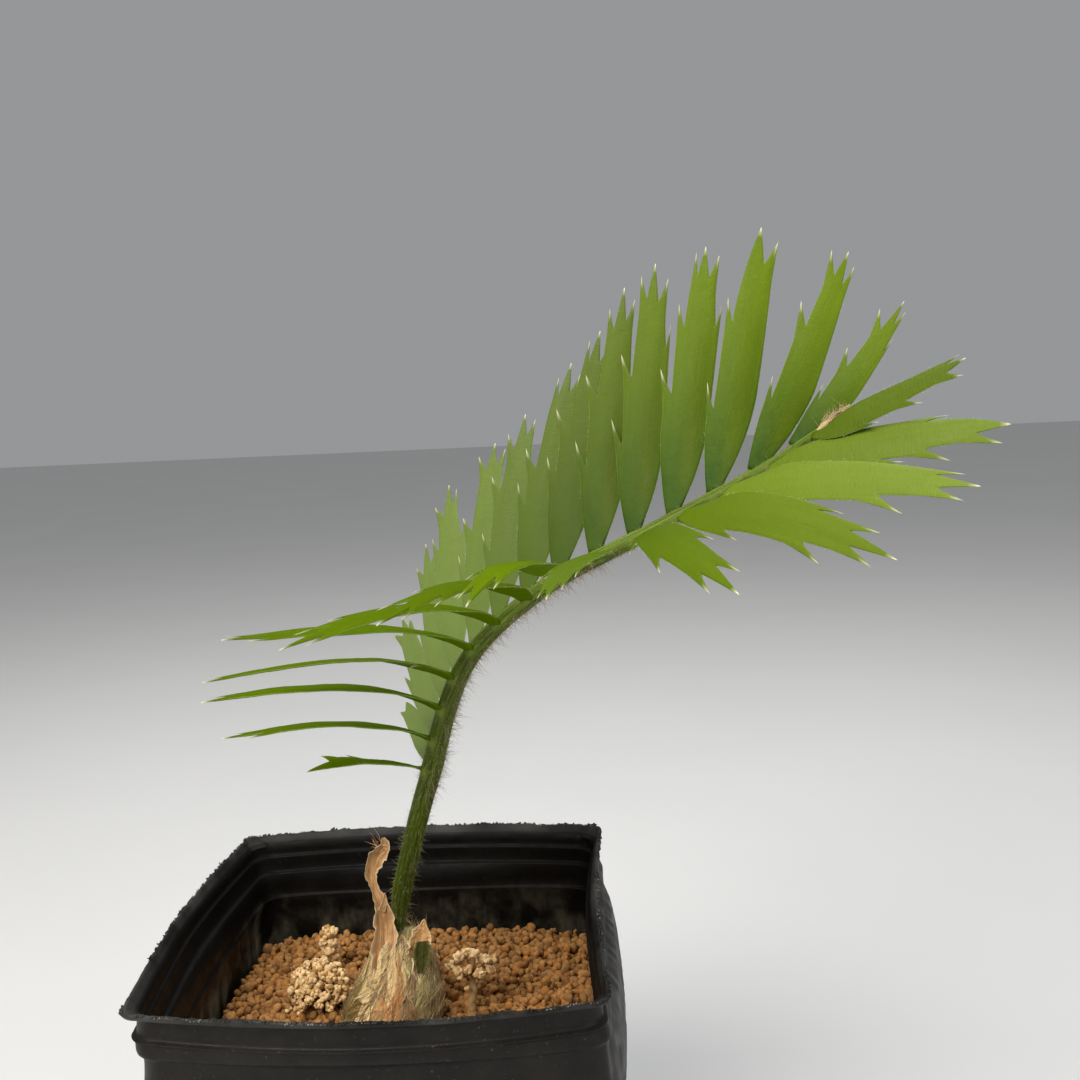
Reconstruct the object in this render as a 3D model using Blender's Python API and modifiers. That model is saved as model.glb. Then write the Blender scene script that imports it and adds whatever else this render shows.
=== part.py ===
"""Potted cycad seedling: one arching pinnate frond on a small scaly caudex, in a square soft-plastic pot.

Frame: metres, +Z up, origin at the centre of the pot's flat underside.
The frond arches to +X and leans towards -Y, its near row of leaflets on the -Y side.
"""
import math

import bmesh
import bpy
import numpy as np
from mathutils import Vector
from mathutils.geometry import delaunay_2d_cdt

MM = 0.001
FIT_GAP = 0.35 * MM                 # clearance kept between neighbouring solids

# Pot: a thin square moulding with a deep flange under its rim
POT_HEIGHT = 90.0 * MM
POT_RIM_HALF = 45.2 * MM            # half width over the rim
POT_FLANGE_HALF = 44.0 * MM         # half width of the ribbed flange
POT_BODY_HALF = 42.2 * MM           # half width just under the flange
POT_FOOT_HALF = 34.0 * MM
POT_FLANGE_DROP = 9.5 * MM          # height of the flange below the rim
POT_WALL = 1.2 * MM
POT_FLOOR = 2.0 * MM
POT_CORNER = 8.0 * MM
POT_FOOT_CHAMFER = 1.4 * MM
POT_LIP_DEPTH = 5.0 * MM            # depth of the smooth band inside the rim
POT_LIP_STEP = 0.3 * MM             # how far the wall stands in under that band
FLANGE_PROFILE = (                  # height above the flange's foot, half width
    (0.8 * MM, POT_FLANGE_HALF),
    (3.6 * MM, POT_FLANGE_HALF),
    (4.4 * MM, POT_FLANGE_HALF + 0.6 * MM),
    (5.2 * MM, POT_FLANGE_HALF),
    (8.2 * MM, POT_FLANGE_HALF),
    (8.6 * MM, POT_RIM_HALF),
)
BULGE_POWER = 1.5                   # how fast the walls' outward bow grows with height
POT_BULGE = {"front": 4.0 * MM, "right": 2.6 * MM, "back": 2.6 * MM, "left": 2.2 * MM}
POT_RIM_PULL = -1.8 * MM            # the soft rim is drawn towards -X over the body
DRAIN_RADIUS = 4.5 * MM
DRAIN_OFFSET = 20.0 * MM
DRAIN_SIDES = 16

SOIL_TOP = 64.0 * MM
SOIL_CHAMFER = 0.8 * MM
SOIL_GAP = 0.65 * MM                # clearance between the soil and the wall
WALL_LEVELS = (24.0 * MM, 45.0 * MM, 63.0 * MM)   # heights at which wall and soil share a ring

# Caudex: a squat bulb that stands on the soil and narrows to the petiole's foot
CAUDEX_RINGS = (                    # height above the soil, radius, centre in X and Y
    (0.4 * MM, 10.2 * MM, -4.4 * MM, 0.2 * MM),
    (4.0 * MM, 10.0 * MM, -3.9 * MM, 0.2 * MM),
    (8.0 * MM, 8.7 * MM, -2.3 * MM, 0.4 * MM),
    (12.0 * MM, 7.2 * MM, -1.8 * MM, 0.8 * MM),
    (16.0 * MM, 5.4 * MM, -1.7 * MM, 1.4 * MM),
)
CAUDEX_TOP_RADIUS = 3.5 * MM
CAUDEX_SIDES = 20
CAUDEX_LOBES = 5
CAUDEX_LOBE_DEPTH = 0.04            # as a share of the radius

# Frond axis: stations along petiole and rachis, in millimetres
AXIS_STATIONS = (
    (-1, 2, 84), (3, -8, 105), (9, -18, 123), (22, -33, 154),
    (33, -39, 164), (55, -46, 176), (77, -49, 188), (86, -50, 194),
)
AXIS_STEP = 7.0 * MM                # spacing of the points along each length of the axis
AXIS_GAP = 0.6 * MM                 # clearance between two lengths of the axis
AXIS_RADII = ((0.0, 2.6), (20.0, 2.3), (60.0, 2.0), (100.0, 1.55), (140.0, 0.95), (160.0, 0.6))
PETIOLE_END = 44.0 * MM
RACHIS_BEND = 92.0 * MM
RACHIS_GREEN_END = 150.0 * MM

# Leaflets: fourteen pairs, numbered from the petiole to the frond's tip
PAIRS = 14
FOOT_FIRST = {"near": 48.0 * MM, "far": 49.5 * MM}
FOOT_STEP = {"near": 8.1 * MM, "far": 7.75 * MM}
TIPS = {                            # apex of each leaflet, in millimetres
    "near": (
        (-14, -24, 128), (-26, -37, 139), (-24, -53, 150), (-20, -64, 156), (-13, -75, 165),
        (-2, -84, 165), (13, -89, 169), (26, -94, 172), (37, -102, 174), (61, -104, 174),
        (83, -94, 176), (98, -81, 184), (106, -70, 192), (100, -68, 202),
    ),
    "far": (
        (2, 5, 134), (1, 13, 151), (7, 15, 167), (13, 14, 180), (24, 8, 189),
        (31, 2, 195), (41, -3, 205), (47, -7, 211), (52, -10, 219), (58, -13, 223),
        (67, -20, 225), (76, -29, 227), (89, -40, 221), (97, -45, 212),
    ),
}
BLADE_WIDTH = ((1, 4.6), (2, 6.6), (4, 7.8), (7, 8.4), (10, 8.4), (12, 8.0), (13, 7.2), (14, 5.4))
BLADE_TWIST = {                     # degrees that a blade is turned about its own length
    "near": ((1, 48), (4, 45), (7, 38), (8, 24), (9, 10), (10, -8), (11, -18), (14, -10)),
    "far": ((1, 40), (4, 40), (7, 33), (10, 20), (14, 16)),
}
BLADE_ARCH = {                      # rise of the midrib over its chord, as a share of the length
    "near": ((1, 0.07), (4, 0.08), (5, 0.055), (7, 0.08), (9, 0.035), (10, 0.06), (11, 0.05), (14, 0.0)),
    "far": ((1, 0.03), (7, 0.03), (10, 0.02), (14, 0.0)),
}
BLADE_SWEEP = {                     # bow of the midrib in the blade's own plane
    "near": ((1, 0.0), (10, 0.0), (11, 0.04), (12, 0.03), (14, 0.0)),
    "far": ((1, 0.02), (4, 0.0), (10, 0.0), (14, 0.02)),
}
BLADE_FOOT_WIDTH = 2.0 * MM
BLADE_SHOULDER = 0.36               # where a blade reaches its full width
BLADE_THICKNESS = 0.5 * MM
BLADE_TIP_WIDTH = 0.6 * MM
TWIST_AT_FOOT = 0.35                # share of the twist already present at the foot
LOWER_SPINE = (0.43, 0.48)          # first spine of the basal margin, odd and even leaflets
UPPER_SPINE = (0.67, 0.74)
SPINE_LEAN = 0.05                   # how far a spine reaches past its own notch, as a share of the length
DISTAL_SPINE = 0.79                 # spine of the upper margin, on the broad leaflets only
APEX_SPINES = (0.945, 0.955)        # the two prongs beside the apex, basal and distal
SWELL_POWER = 0.85
OUTLINE_STEP = 0.1

# Dry leaf bases and the coral-like surface roots
DRY_BASE_PATH = (
    (-5.3, -1.2, 84.0), (-5.3, -0.6, 88.0), (-7.4, 0.6, 93.5), (-8.0, 1.4, 97.0), (-6.4, 2.0, 100.4), (-5.3, 2.2, 104.6),
)
DRY_BASE_WIDTHS = (5.0, 4.0, 2.8, 3.8, 4.0, 1.0)
DRY_BASE_THICKNESS = 0.7 * MM
DRY_BASE_FACING = (0.2, -1.0, 0.1)
STRIP_ROWS = 9
STRIP_CUP = 0.3                     # depth of a strip's cupped section, as a share of its half width
STUB_PATH = ((2.7, -2.9, 80.4), (3.1, -3.1, 83.2), (4.2, -3.2, 86.2))
STUB_WIDTHS = (5.4, 4.6, 1.0)
STUB_FACING = (0.5, -1.0, 0.2)
CORAL_LUMPS = {                     # centre and radii in millimetres
    "coral_root_large": ((-21.3, 5.0, 70.3), (7.2, 6.2, 6.3)),
    "coral_root_small": ((-22.0, 20.0, 70.4), (2.4, 2.4, 6.2)),
    "coral_root_right": ((13.9, 1.8, 74.7), (5.6, 4.6, 4.3)),
}
CORAL_STALK_RADIUS = 1.1 * MM

COLOURS = {
    "pot_plastic": ((0.018, 0.018, 0.020, 1.0), 0.42),
    "granules": ((0.36, 0.17, 0.06, 1.0), 0.95),
    "dry_scales": ((0.52, 0.36, 0.22, 1.0), 0.85),
    "coral_roots": ((0.62, 0.50, 0.36, 1.0), 0.9),
    "green_stem": ((0.12, 0.18, 0.03, 1.0), 0.6),
    "dry_tip": ((0.42, 0.27, 0.20, 1.0), 0.9),
    "leaf_green": ((0.16, 0.32, 0.06, 1.0), 0.5),
}


def clear_scene():
    for obj in list(bpy.data.objects):
        bpy.data.objects.remove(obj, do_unlink=True)


def make_collection(name):
    collection = bpy.data.collections.new(name)
    bpy.context.scene.collection.children.link(collection)
    return collection


def make_material(name):
    colour, roughness = COLOURS[name]
    material = bpy.data.materials.new(name)
    material.use_nodes = True
    shader = material.node_tree.nodes["Principled BSDF"]
    shader.inputs["Base Color"].default_value = colour
    shader.inputs["Roughness"].default_value = roughness
    shader.inputs["Metallic"].default_value = 0.0
    material.diffuse_color = colour
    return material


def add_object(name, data, material_name, collection):
    obj = bpy.data.objects.new(name, data)
    material = make_material(material_name)
    material.name = name + "_" + material_name
    data.materials.append(material)
    collection.objects.link(obj)
    return obj


def hermite(stations, values, at):
    """Smooth cubic through values at stations, read at the places in at."""
    stations = np.asarray(stations, float)
    values = np.asarray(values, float)
    slopes = np.gradient(values, stations, axis=0)
    at = np.clip(np.atleast_1d(np.asarray(at, float)), stations[0], stations[-1])
    i = np.clip(np.searchsorted(stations, at, side="right") - 1, 0, len(stations) - 2)
    span = (stations[i + 1] - stations[i])[:, None]
    u = (at - stations[i])[:, None] / span
    rise = 3 * u**2 - 2 * u**3
    return (
        (1 - rise) * values[i]
        + rise * values[i + 1]
        + (u**3 - 2 * u**2 + u) * span * slopes[i]
        + (u**3 - u**2) * span * slopes[i + 1]
    )


def at_pair(table, pair):
    numbers, values = zip(*table)
    return float(np.interp(pair, numbers, values))


def unit(vector):
    return vector / np.linalg.norm(vector)


AXIS_POINTS = np.array(AXIS_STATIONS, float) * MM
AXIS_LENGTHS = np.concatenate([[0.0], np.cumsum(np.linalg.norm(np.diff(AXIS_POINTS, axis=0), axis=1))])


def axis_at(distance):
    return hermite(AXIS_LENGTHS, AXIS_POINTS, distance)


def axis_radius(distance):
    places, radii = zip(*AXIS_RADII)
    return np.interp(distance, np.array(places) * MM, np.array(radii) * MM)


def axis_direction(distance):
    step = 0.5 * MM
    return unit((axis_at(distance + step) - axis_at(distance - step))[0])


# ---------------------------------------------------------------- pot and soil


def square_ring(half, corner, bulge_share, shift_x, z):
    """Rounded square of half width half, each side bowed outward by its own bulge."""
    points = []
    sides = (("right", 0.0), ("back", 90.0), ("left", 180.0), ("front", 270.0))
    for side, turn in sides:
        flat = half - corner
        bow = POT_BULGE[side] * bulge_share
        local = []
        for share in (-1.0, -0.5, 0.0, 0.5):
            local.append((half + bow * (1.0 - share * share), flat * share))
        for step in range(4):
            angle = math.radians(90.0 * step / 4)
            local.append((flat + corner * math.cos(angle), flat + corner * math.sin(angle)))
        cos_t = math.cos(math.radians(turn))
        sin_t = math.sin(math.radians(turn))
        for x, y in local:
            points.append(Vector((x * cos_t - y * sin_t + shift_x, x * sin_t + y * cos_t, z)))
    return points


def loft(rings, name):
    """Closed solid through rings of equal point counts, with flat ends."""
    bm = bmesh.new()
    loops = [[bm.verts.new(point) for point in ring] for ring in rings]
    count = len(rings[0])
    for low, high in zip(loops, loops[1:]):
        for i in range(count):
            j = (i + 1) % count
            bm.faces.new((low[i], low[j], high[j], high[i]))
    bm.faces.new(list(reversed(loops[0])))
    bm.faces.new(loops[-1])
    bmesh.ops.recalc_face_normals(bm, faces=bm.faces)
    mesh = bpy.data.meshes.new(name)
    bm.to_mesh(mesh)
    bm.free()
    return mesh


def pot_half(z):
    """Outer half width of the pot's wall below the flange at height z."""
    return POT_FOOT_HALF + (POT_BODY_HALF - POT_FOOT_HALF) * z / (POT_HEIGHT - POT_FLANGE_DROP)


def pot_rings():
    flange_foot = POT_HEIGHT - POT_FLANGE_DROP
    outer = (
        (0.0, POT_FOOT_HALF - POT_FOOT_CHAMFER),
        (POT_FOOT_CHAMFER, pot_half(POT_FOOT_CHAMFER)),
        *((z, pot_half(z)) for z in WALL_LEVELS),
        (flange_foot, POT_BODY_HALF),
        *((flange_foot + rise, half) for rise, half in FLANGE_PROFILE),
        (POT_HEIGHT, POT_RIM_HALF),
    )
    inner = (
        (POT_HEIGHT, POT_RIM_HALF - POT_WALL),
        (POT_HEIGHT - POT_LIP_DEPTH, POT_FLANGE_HALF - POT_WALL - POT_LIP_STEP),
        (flange_foot, POT_BODY_HALF - POT_WALL),
        *((z, pot_half(z) - POT_WALL) for z in reversed(WALL_LEVELS)),
        (POT_FLOOR, pot_half(POT_FLOOR) - POT_WALL),
    )
    rings = []
    for z, half in outer + inner:
        share = (z / POT_HEIGHT) ** BULGE_POWER
        pull = POT_RIM_PULL * max(0.0, (z - flange_foot) / POT_FLANGE_DROP)
        rings.append(square_ring(half, POT_CORNER, share, pull, z))
    return rings


def build_pot(parts, cutters):
    pot = add_object("pot", loft(pot_rings(), "pot"), "pot_plastic", parts)
    for i, (sx, sy) in enumerate(((-1, -1), (1, -1), (1, 1), (-1, 1))):
        bm = bmesh.new()
        bmesh.ops.create_cone(
            bm,
            cap_ends=True,
            segments=DRAIN_SIDES,
            radius1=DRAIN_RADIUS,
            radius2=DRAIN_RADIUS,
            depth=4 * POT_FLOOR,
        )
        mesh = bpy.data.meshes.new("drain_cutter")
        bm.to_mesh(mesh)
        bm.free()
        cutter = bpy.data.objects.new("drain_cutter_%d" % (i + 1), mesh)
        cutter.location = (sx * DRAIN_OFFSET, sy * DRAIN_OFFSET, POT_FLOOR / 2)
        cutter.hide_render = True
        cutter.display_type = "WIRE"
        cutters.objects.link(cutter)
        cut = pot.modifiers.new("drain_%d" % (i + 1), "BOOLEAN")
        cut.operation = "DIFFERENCE"
        cut.solver = "EXACT"
        cut.object = cutter
    return pot


def build_soil(parts):
    rings = []
    for z in (POT_FLOOR + FIT_GAP, *WALL_LEVELS, SOIL_TOP):
        chamfer = SOIL_CHAMFER if z == SOIL_TOP else 0.0
        half = pot_half(z) - POT_WALL - SOIL_GAP - chamfer
        rings.append(square_ring(half, POT_CORNER, (z / POT_HEIGHT) ** BULGE_POWER, 0.0, z))
    return add_object("soil", loft(rings, "soil"), "granules", parts)


# ---------------------------------------------------------------- caudex and what grows from it


def round_ring(centre, radius, normal, lobe_depth):
    """Nearly round ring about centre, square to normal, with shallow lobes."""
    turn = Vector((0.0, 0.0, 1.0)).rotation_difference(Vector(normal))
    points = []
    for i in range(CAUDEX_SIDES):
        angle = 2 * math.pi * i / CAUDEX_SIDES
        r = radius * (1.0 + lobe_depth * math.sin(CAUDEX_LOBES * angle + 0.9 * centre[2] / MM))
        points.append(Vector(centre) + turn @ Vector((r * math.cos(angle), r * math.sin(angle), 0.0)))
    return points


def build_caudex(parts):
    rings = []
    for rise, radius, x, y in CAUDEX_RINGS:
        rings.append(round_ring((x, y, SOIL_TOP + rise), radius, (0, 0, 1), CAUDEX_LOBE_DEPTH))
    growth = axis_direction(0.0)
    collar = axis_at(0.0)[0] - growth * FIT_GAP
    rings.append(round_ring(collar, CAUDEX_TOP_RADIUS, growth, 0.0))
    return add_object("caudex", loft(rings, "caudex"), "dry_scales", parts)


def build_strip(name, path, widths, facing, parts):
    """A thin dry strip along path, its width square to both the path and facing."""
    points = np.array(path) * MM
    stations = np.linspace(0.0, 1.0, len(points))
    places = np.linspace(0.0, 1.0, STRIP_ROWS)
    centres = hermite(stations, points, places)
    half_widths = np.interp(places, stations, widths) * MM / 2
    bm = bmesh.new()
    bmesh.ops.create_grid(bm, x_segments=2, y_segments=STRIP_ROWS - 1, size=1.0)
    for vert in bm.verts:
        row = int(round((vert.co.y + 1.0) / 2.0 * (STRIP_ROWS - 1)))
        across = vert.co.x
        before = centres[max(row - 1, 0)]
        after = centres[min(row + 1, STRIP_ROWS - 1)]
        along = unit(after - before)
        side = unit(np.cross(along, facing))
        front = np.cross(side, along)
        cup = STRIP_CUP * half_widths[row] * across * across
        vert.co = Vector(centres[row] + side * half_widths[row] * across + front * cup)
    mesh = bpy.data.meshes.new(name)
    bm.to_mesh(mesh)
    bm.free()
    obj = add_object(name, mesh, "dry_scales", parts)
    shell = obj.modifiers.new("thickness", "SOLIDIFY")
    shell.thickness = DRY_BASE_THICKNESS
    shell.offset = 0.0
    return obj


def build_corals(parts):
    for name, (centre, radii) in CORAL_LUMPS.items():
        bm = bmesh.new()
        bmesh.ops.create_icosphere(bm, subdivisions=2, radius=1.0)
        for vert in bm.verts:
            n = vert.co.normalized()
            lump = 1.0 + 0.07 * math.sin(7 * n.x + 2) * math.sin(6 * n.y + 1) + 0.05 * math.sin(9 * n.z)
            floor = (SOIL_TOP + FIT_GAP - centre[2] * MM) / (radii[2] * MM)
            z = max(n.z * lump, floor) if name != "coral_root_right" else n.z * lump
            vert.co = Vector((n.x * lump * radii[0] * MM, n.y * lump * radii[1] * MM, z * radii[2] * MM))
        mesh = bpy.data.meshes.new(name)
        bm.to_mesh(mesh)
        bm.free()
        obj = add_object(name, mesh, "coral_roots", parts)
        obj.location = Vector(centre) * MM
    centre, radii = CORAL_LUMPS["coral_root_right"]
    foot = Vector((centre[0] * MM, centre[1] * MM, SOIL_TOP + FIT_GAP))
    top = Vector((centre[0] * MM, centre[1] * MM, (centre[2] - radii[2]) * MM - FIT_GAP))
    tube("coral_root_stalk", [foot, top], [CORAL_STALK_RADIUS] * 2, "coral_roots", parts)


# ---------------------------------------------------------------- frond


def tube(name, points, radii, material_name, parts):
    curve = bpy.data.curves.new(name, "CURVE")
    curve.dimensions = "3D"
    curve.bevel_depth = 1.0
    curve.bevel_resolution = 2
    curve.use_fill_caps = True
    spline = curve.splines.new("POLY")
    spline.points.add(len(points) - 1)
    for target, point, radius in zip(spline.points, points, radii):
        target.co = (*point, 1.0)
        target.radius = radius
    return add_object(name, curve, material_name, parts)


def build_axis(parts):
    spans = (
        ("petiole", 0.0, PETIOLE_END, "green_stem"),
        ("rachis_lower", PETIOLE_END, RACHIS_BEND, "green_stem"),
        ("rachis_upper", RACHIS_BEND, RACHIS_GREEN_END, "green_stem"),
        ("rachis_tip", RACHIS_GREEN_END, AXIS_LENGTHS[-1], "dry_tip"),
    )
    for name, start, end, material_name in spans:
        count = max(3, int(round((end - start) / AXIS_STEP)) + 1)
        distances = np.linspace(start + AXIS_GAP / 2, end - AXIS_GAP / 2, count)
        points = [tuple(axis_at(d)[0]) for d in distances]
        radii = [float(axis_radius(d)) for d in distances]
        tube(name, points, radii, material_name, parts)


def lateral_at(pair):
    """Direction across the rachis, towards the near row, at leaflet pair number pair."""
    numbers = (1, 4, 7, 10, 14)
    laterals = []
    for number in numbers:
        distance = sum(FOOT_FIRST[row] + FOOT_STEP[row] * (number - 1) for row in TIPS) / 2
        base = axis_at(distance)[0]
        near = unit(np.array(TIPS["near"][number - 1]) * MM - base)
        far = unit(np.array(TIPS["far"][number - 1]) * MM - base)
        along = axis_direction(distance)
        laterals.append(unit((near - far) - np.dot(near - far, along) * along))
    return unit(hermite(numbers, laterals, pair)[0])


def margin(spines, half_width):
    """One margin of a blade, from foot to apex, as rows of (station, offset from the midrib).

    Each spine is (station of its point, offset of its point, offset of the notch behind it),
    offsets as shares of half_width. The margin swells to the shoulder, runs to each spine's point,
    and steps back to the notch, so that every spine leans towards the apex.
    """
    rows = []
    for u in (0.0, 0.33, 0.66, 1.0):
        swell = (u * u * (3 - 2 * u)) ** SWELL_POWER
        offset = BLADE_FOOT_WIDTH / 2 + (half_width - BLADE_FOOT_WIDTH / 2) * swell
        rows.append((BLADE_SHOULDER * u, offset))
    for point, reach, notch in spines:
        rows.append((point, reach * half_width))
        rows.append((point - SPINE_LEAN, notch * half_width))
    rows.append((1.0, BLADE_TIP_WIDTH / 2))
    return rows


def blade_outline(pair):
    """Closed outline of a blade as (station, offset), with no run longer than OUTLINE_STEP."""
    half_width = at_pair(BLADE_WIDTH, pair) * MM / 2
    basal, distal = leaflet_spines(pair)
    corners = margin(distal, half_width)
    corners += [(station, -offset) for station, offset in reversed(margin(basal, half_width))]
    outline = []
    for start, end in zip(corners, corners[1:] + corners[:1]):
        runs = max(1, math.ceil(abs(end[0] - start[0]) / OUTLINE_STEP))
        for i in range(runs):
            outline.append(tuple(np.array(start) + (np.array(end) - start) * i / runs))
    return outline


def leaflet_spines(pair):
    odd = pair % 2
    basal = []
    distal = []
    if pair >= 3:
        basal.append((LOWER_SPINE[1 - odd], 1.02, 0.80))
    if pair >= 2:
        basal.append((UPPER_SPINE[1 - odd], 0.92, 0.62))
    basal.append((APEX_SPINES[0], 0.66, 0.30))
    if pair >= 9:
        distal.append((DISTAL_SPINE, 0.95, 0.72))
    distal.append((APEX_SPINES[1], 0.66, 0.30))
    return basal, distal


def leaflet_frame(row, pair):
    """Foot, tip, and the blade's unrolled width and facing directions."""
    distance = FOOT_FIRST[row] + FOOT_STEP[row] * (pair - 1)
    base = axis_at(distance)[0]
    along = axis_direction(distance)
    tip = np.array(TIPS[row][pair - 1], float) * MM
    outward = tip - base
    forward = max(0.0, np.dot(unit(outward), along))
    outward = unit(outward - np.dot(outward, along) * along)
    corner_dip = forward * BLADE_FOOT_WIDTH / 2
    foot = base + outward * (axis_radius(distance) + FIT_GAP + BLADE_THICKNESS / 2 + corner_dip)
    chord = unit(tip - foot)
    across = unit(along - np.dot(along, chord) * chord)
    upper = np.cross(lateral_at(pair), along)
    facing = unit(upper - np.dot(upper, chord) * chord - np.dot(upper, across) * across)
    return foot, tip, across, facing


def blade_point(row, pair, frame, station, offset):
    """Point of the blade at a station along its midrib and an offset across it."""
    foot, tip, across, facing = frame
    length = np.linalg.norm(tip - foot)
    twist = math.radians(at_pair(BLADE_TWIST[row], pair))
    rise = 4 * station * (1 - station)
    width_dir = math.cos(twist) * across - math.sin(twist) * facing
    facing_dir = math.sin(twist) * across + math.cos(twist) * facing
    bow = at_pair(BLADE_ARCH[row], pair) * facing_dir + at_pair(BLADE_SWEEP[row], pair) * width_dir
    settled = min(station / 0.35, 1.0)
    settled = settled * settled * (3 - 2 * settled)
    turn = twist * (TWIST_AT_FOOT + (1 - TWIST_AT_FOOT) * settled)
    local_width = math.cos(turn) * across - math.sin(turn) * facing
    return foot + (tip - foot) * station + length * rise * bow + local_width * offset


def build_leaflet(row, pair, parts):
    """Fill the outline with triangles in the flat, bend it to its place, and give it thickness."""
    frame = leaflet_frame(row, pair)
    length = np.linalg.norm(frame[1] - frame[0])
    outline = blade_outline(pair)
    midrib = [(station, 0.0) for station in np.arange(OUTLINE_STEP, 1.0, OUTLINE_STEP)]
    flat = [Vector((station * length / MM, offset / MM)) for station, offset in outline + midrib]
    filled = delaunay_2d_cdt(flat, [], [list(range(len(outline)))], 1, 1e-5)
    points = [blade_point(row, pair, frame, co.x * MM / length, co.y * MM) for co in filled[0]]
    name = "leaflet_%s_%02d" % (row, pair)
    mesh = bpy.data.meshes.new(name)
    mesh.from_pydata(points, [], filled[2])
    obj = add_object(name, mesh, "leaf_green", parts)
    shell = obj.modifiers.new("thickness", "SOLIDIFY")
    shell.thickness = BLADE_THICKNESS
    shell.offset = 0.0
    return obj


def main():
    clear_scene()
    parts = make_collection("potted_cycad_seedling")
    cutters = make_collection("cutters")
    build_pot(parts, cutters)
    build_soil(parts)
    build_caudex(parts)
    build_strip("dry_leaf_base", DRY_BASE_PATH, DRY_BASE_WIDTHS, DRY_BASE_FACING, parts)
    build_strip("leaf_base_stub", STUB_PATH, STUB_WIDTHS, STUB_FACING, parts)
    build_corals(parts)
    build_axis(parts)
    for row in TIPS:
        for pair in range(1, PAIRS + 1):
            build_leaflet(row, pair, parts)


main()
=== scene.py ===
"""Look of the potted cycad seedling, laid out as an add-on and run as a script.

Units: metres in the file's frame (+Z up, origin under the pot); tables of places are in millimetres.
"""
import math

import bpy
import numpy as np
from bpy.props import FloatProperty, FloatVectorProperty, IntProperty, PointerProperty
from mathutils import Matrix, Vector


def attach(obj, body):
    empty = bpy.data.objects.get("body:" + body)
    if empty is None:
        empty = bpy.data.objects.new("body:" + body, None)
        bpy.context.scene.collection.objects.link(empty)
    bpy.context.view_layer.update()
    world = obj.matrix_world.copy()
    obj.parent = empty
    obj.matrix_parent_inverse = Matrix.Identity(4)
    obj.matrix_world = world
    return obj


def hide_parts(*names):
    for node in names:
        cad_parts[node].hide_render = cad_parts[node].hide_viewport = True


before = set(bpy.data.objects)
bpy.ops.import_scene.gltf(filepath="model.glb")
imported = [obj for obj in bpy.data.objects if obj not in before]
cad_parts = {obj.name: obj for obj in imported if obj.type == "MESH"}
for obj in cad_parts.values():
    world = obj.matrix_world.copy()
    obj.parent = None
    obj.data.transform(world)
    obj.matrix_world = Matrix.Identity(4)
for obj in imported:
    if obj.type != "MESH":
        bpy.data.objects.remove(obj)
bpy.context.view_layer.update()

bl_info = {
    "name": "Potted Cycad Seedling",
    "version": (1, 0, 0),
    "blender": (4, 5, 0),
    "location": "3D View > Sidebar > Cycad",
    "description": "Builds a cycad seedling with one pinnate frond in a square soft-plastic pot",
    "category": "Add Mesh",
}

MM = 0.001
BODY = "root"
SEED = 41

# Pot
POT_HEIGHT = 90.0
WALL_TAPER = (  # height, half width
    (0, 34.0), (15, 36.2), (30, 38.4), (50, 42.0), (62, 43.9), (70, 44.4), (76, 44.0), (79, 43.8), (90, 43.8),
)
WALL = 1.3
INNER_HALF = 41.3  # the inside of the wall is nowhere wider than this
RIM_BOW = (-1.4, 3.2, 2.4, 4.6)  # how far the rim's sides bow out: right, back, left, front
BODY_BOW = (3.4, 2.0, 1.6, 2.2)  # and the wall's, most at BODY_BOW_AT
BODY_BOW_AT = 62.0
RIM_SHIFT = -1.8  # shift along X of the rim, and of the wall below it
BODY_SHIFT = -0.8
DRAIN_OFFSET = 20.0
DRAIN_RADIUS = 4.5
FLOOR_HALF = 31.0
FLOOR_CORNER = 6.0
FLOOR_FACES = (0.02, 1.98)
SOIL_TOP = 64.0

# Frond axis
AXIS_STATIONS = (  # points the axis runs through, from inside the caudex to the withered tip
    (-2.1, 2, 84), (-0.9, -1.3, 91), (3, -8, 105), (9, -18, 123), (22, -33, 154),
    (33, -39, 164), (55, -46, 176), (77, -49, 188), (86, -50, 194),
)
AXIS_RADII = (  # distance along the axis, radius
    (-4.5, 0.9), (0.0, 1.1), (3.0, 1.4), (7.0, 1.85), (12.0, 2.05), (25.0, 2.05), (55.0, 2.0), (100.0, 1.5),
    (140.0, 0.95), (160.0, 0.6),
)
GREEN_END = 150.0  # distance along the axis where its green part ends

# Leaflets: tables run over pair numbers, counted from the frond's base; rows are seen from -Y
PAIRS = 14
FOOT_FIRST = {"near": 49.2, "far": 49.5}  # the first foot's distance along the axis, and the step
FOOT_STEP = {"near": 7.93, "far": 7.75}
FOOT_LAST = {"near": 1.5, "far": 0.0}  # the last leaflet stands this much further out
TIPS = {
    "near": (
        (-14, -24, 128), (-26, -37, 139), (-24, -53, 150), (-20, -64, 156), (-13, -75, 165),
        (-2, -84, 165), (13, -89, 169), (26, -94, 172), (37, -102, 174), (61, -104, 174),
        (83, -94, 176), (98, -81, 184), (106, -70, 192), (100, -68, 202),
    ),
    "far": (
        (2, 5, 134), (1, 13, 151), (7, 15, 167), (13, 14, 180), (24, 8, 189),
        (31, 2, 195), (41, -3, 205), (47, -7, 211), (52, -10, 219), (58, -13, 223),
        (67, -20, 225), (76, -29, 227), (89, -40, 221), (97, -45, 212),
    ),
}
BLADE_WIDTH = ((1, 4.6), (2, 6.6), (4, 7.8), (7, 8.4), (10, 8.4), (12, 8.0), (13, 7.2), (14, 5.8))
BLADE_TWIST = {  # degrees about the blade's chord
    "near": (
        (1, 53), (2, 56), (3, 57), (4, 52), (5, 48), (6, 42), (7, 38), (8, 26), (9, 10), (10, -8), (11, -18),
        (13, -18), (14, -30)),
    "far": ((1, 40), (4, 40), (7, 33), (10, 20), (14, 14)),
}
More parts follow.
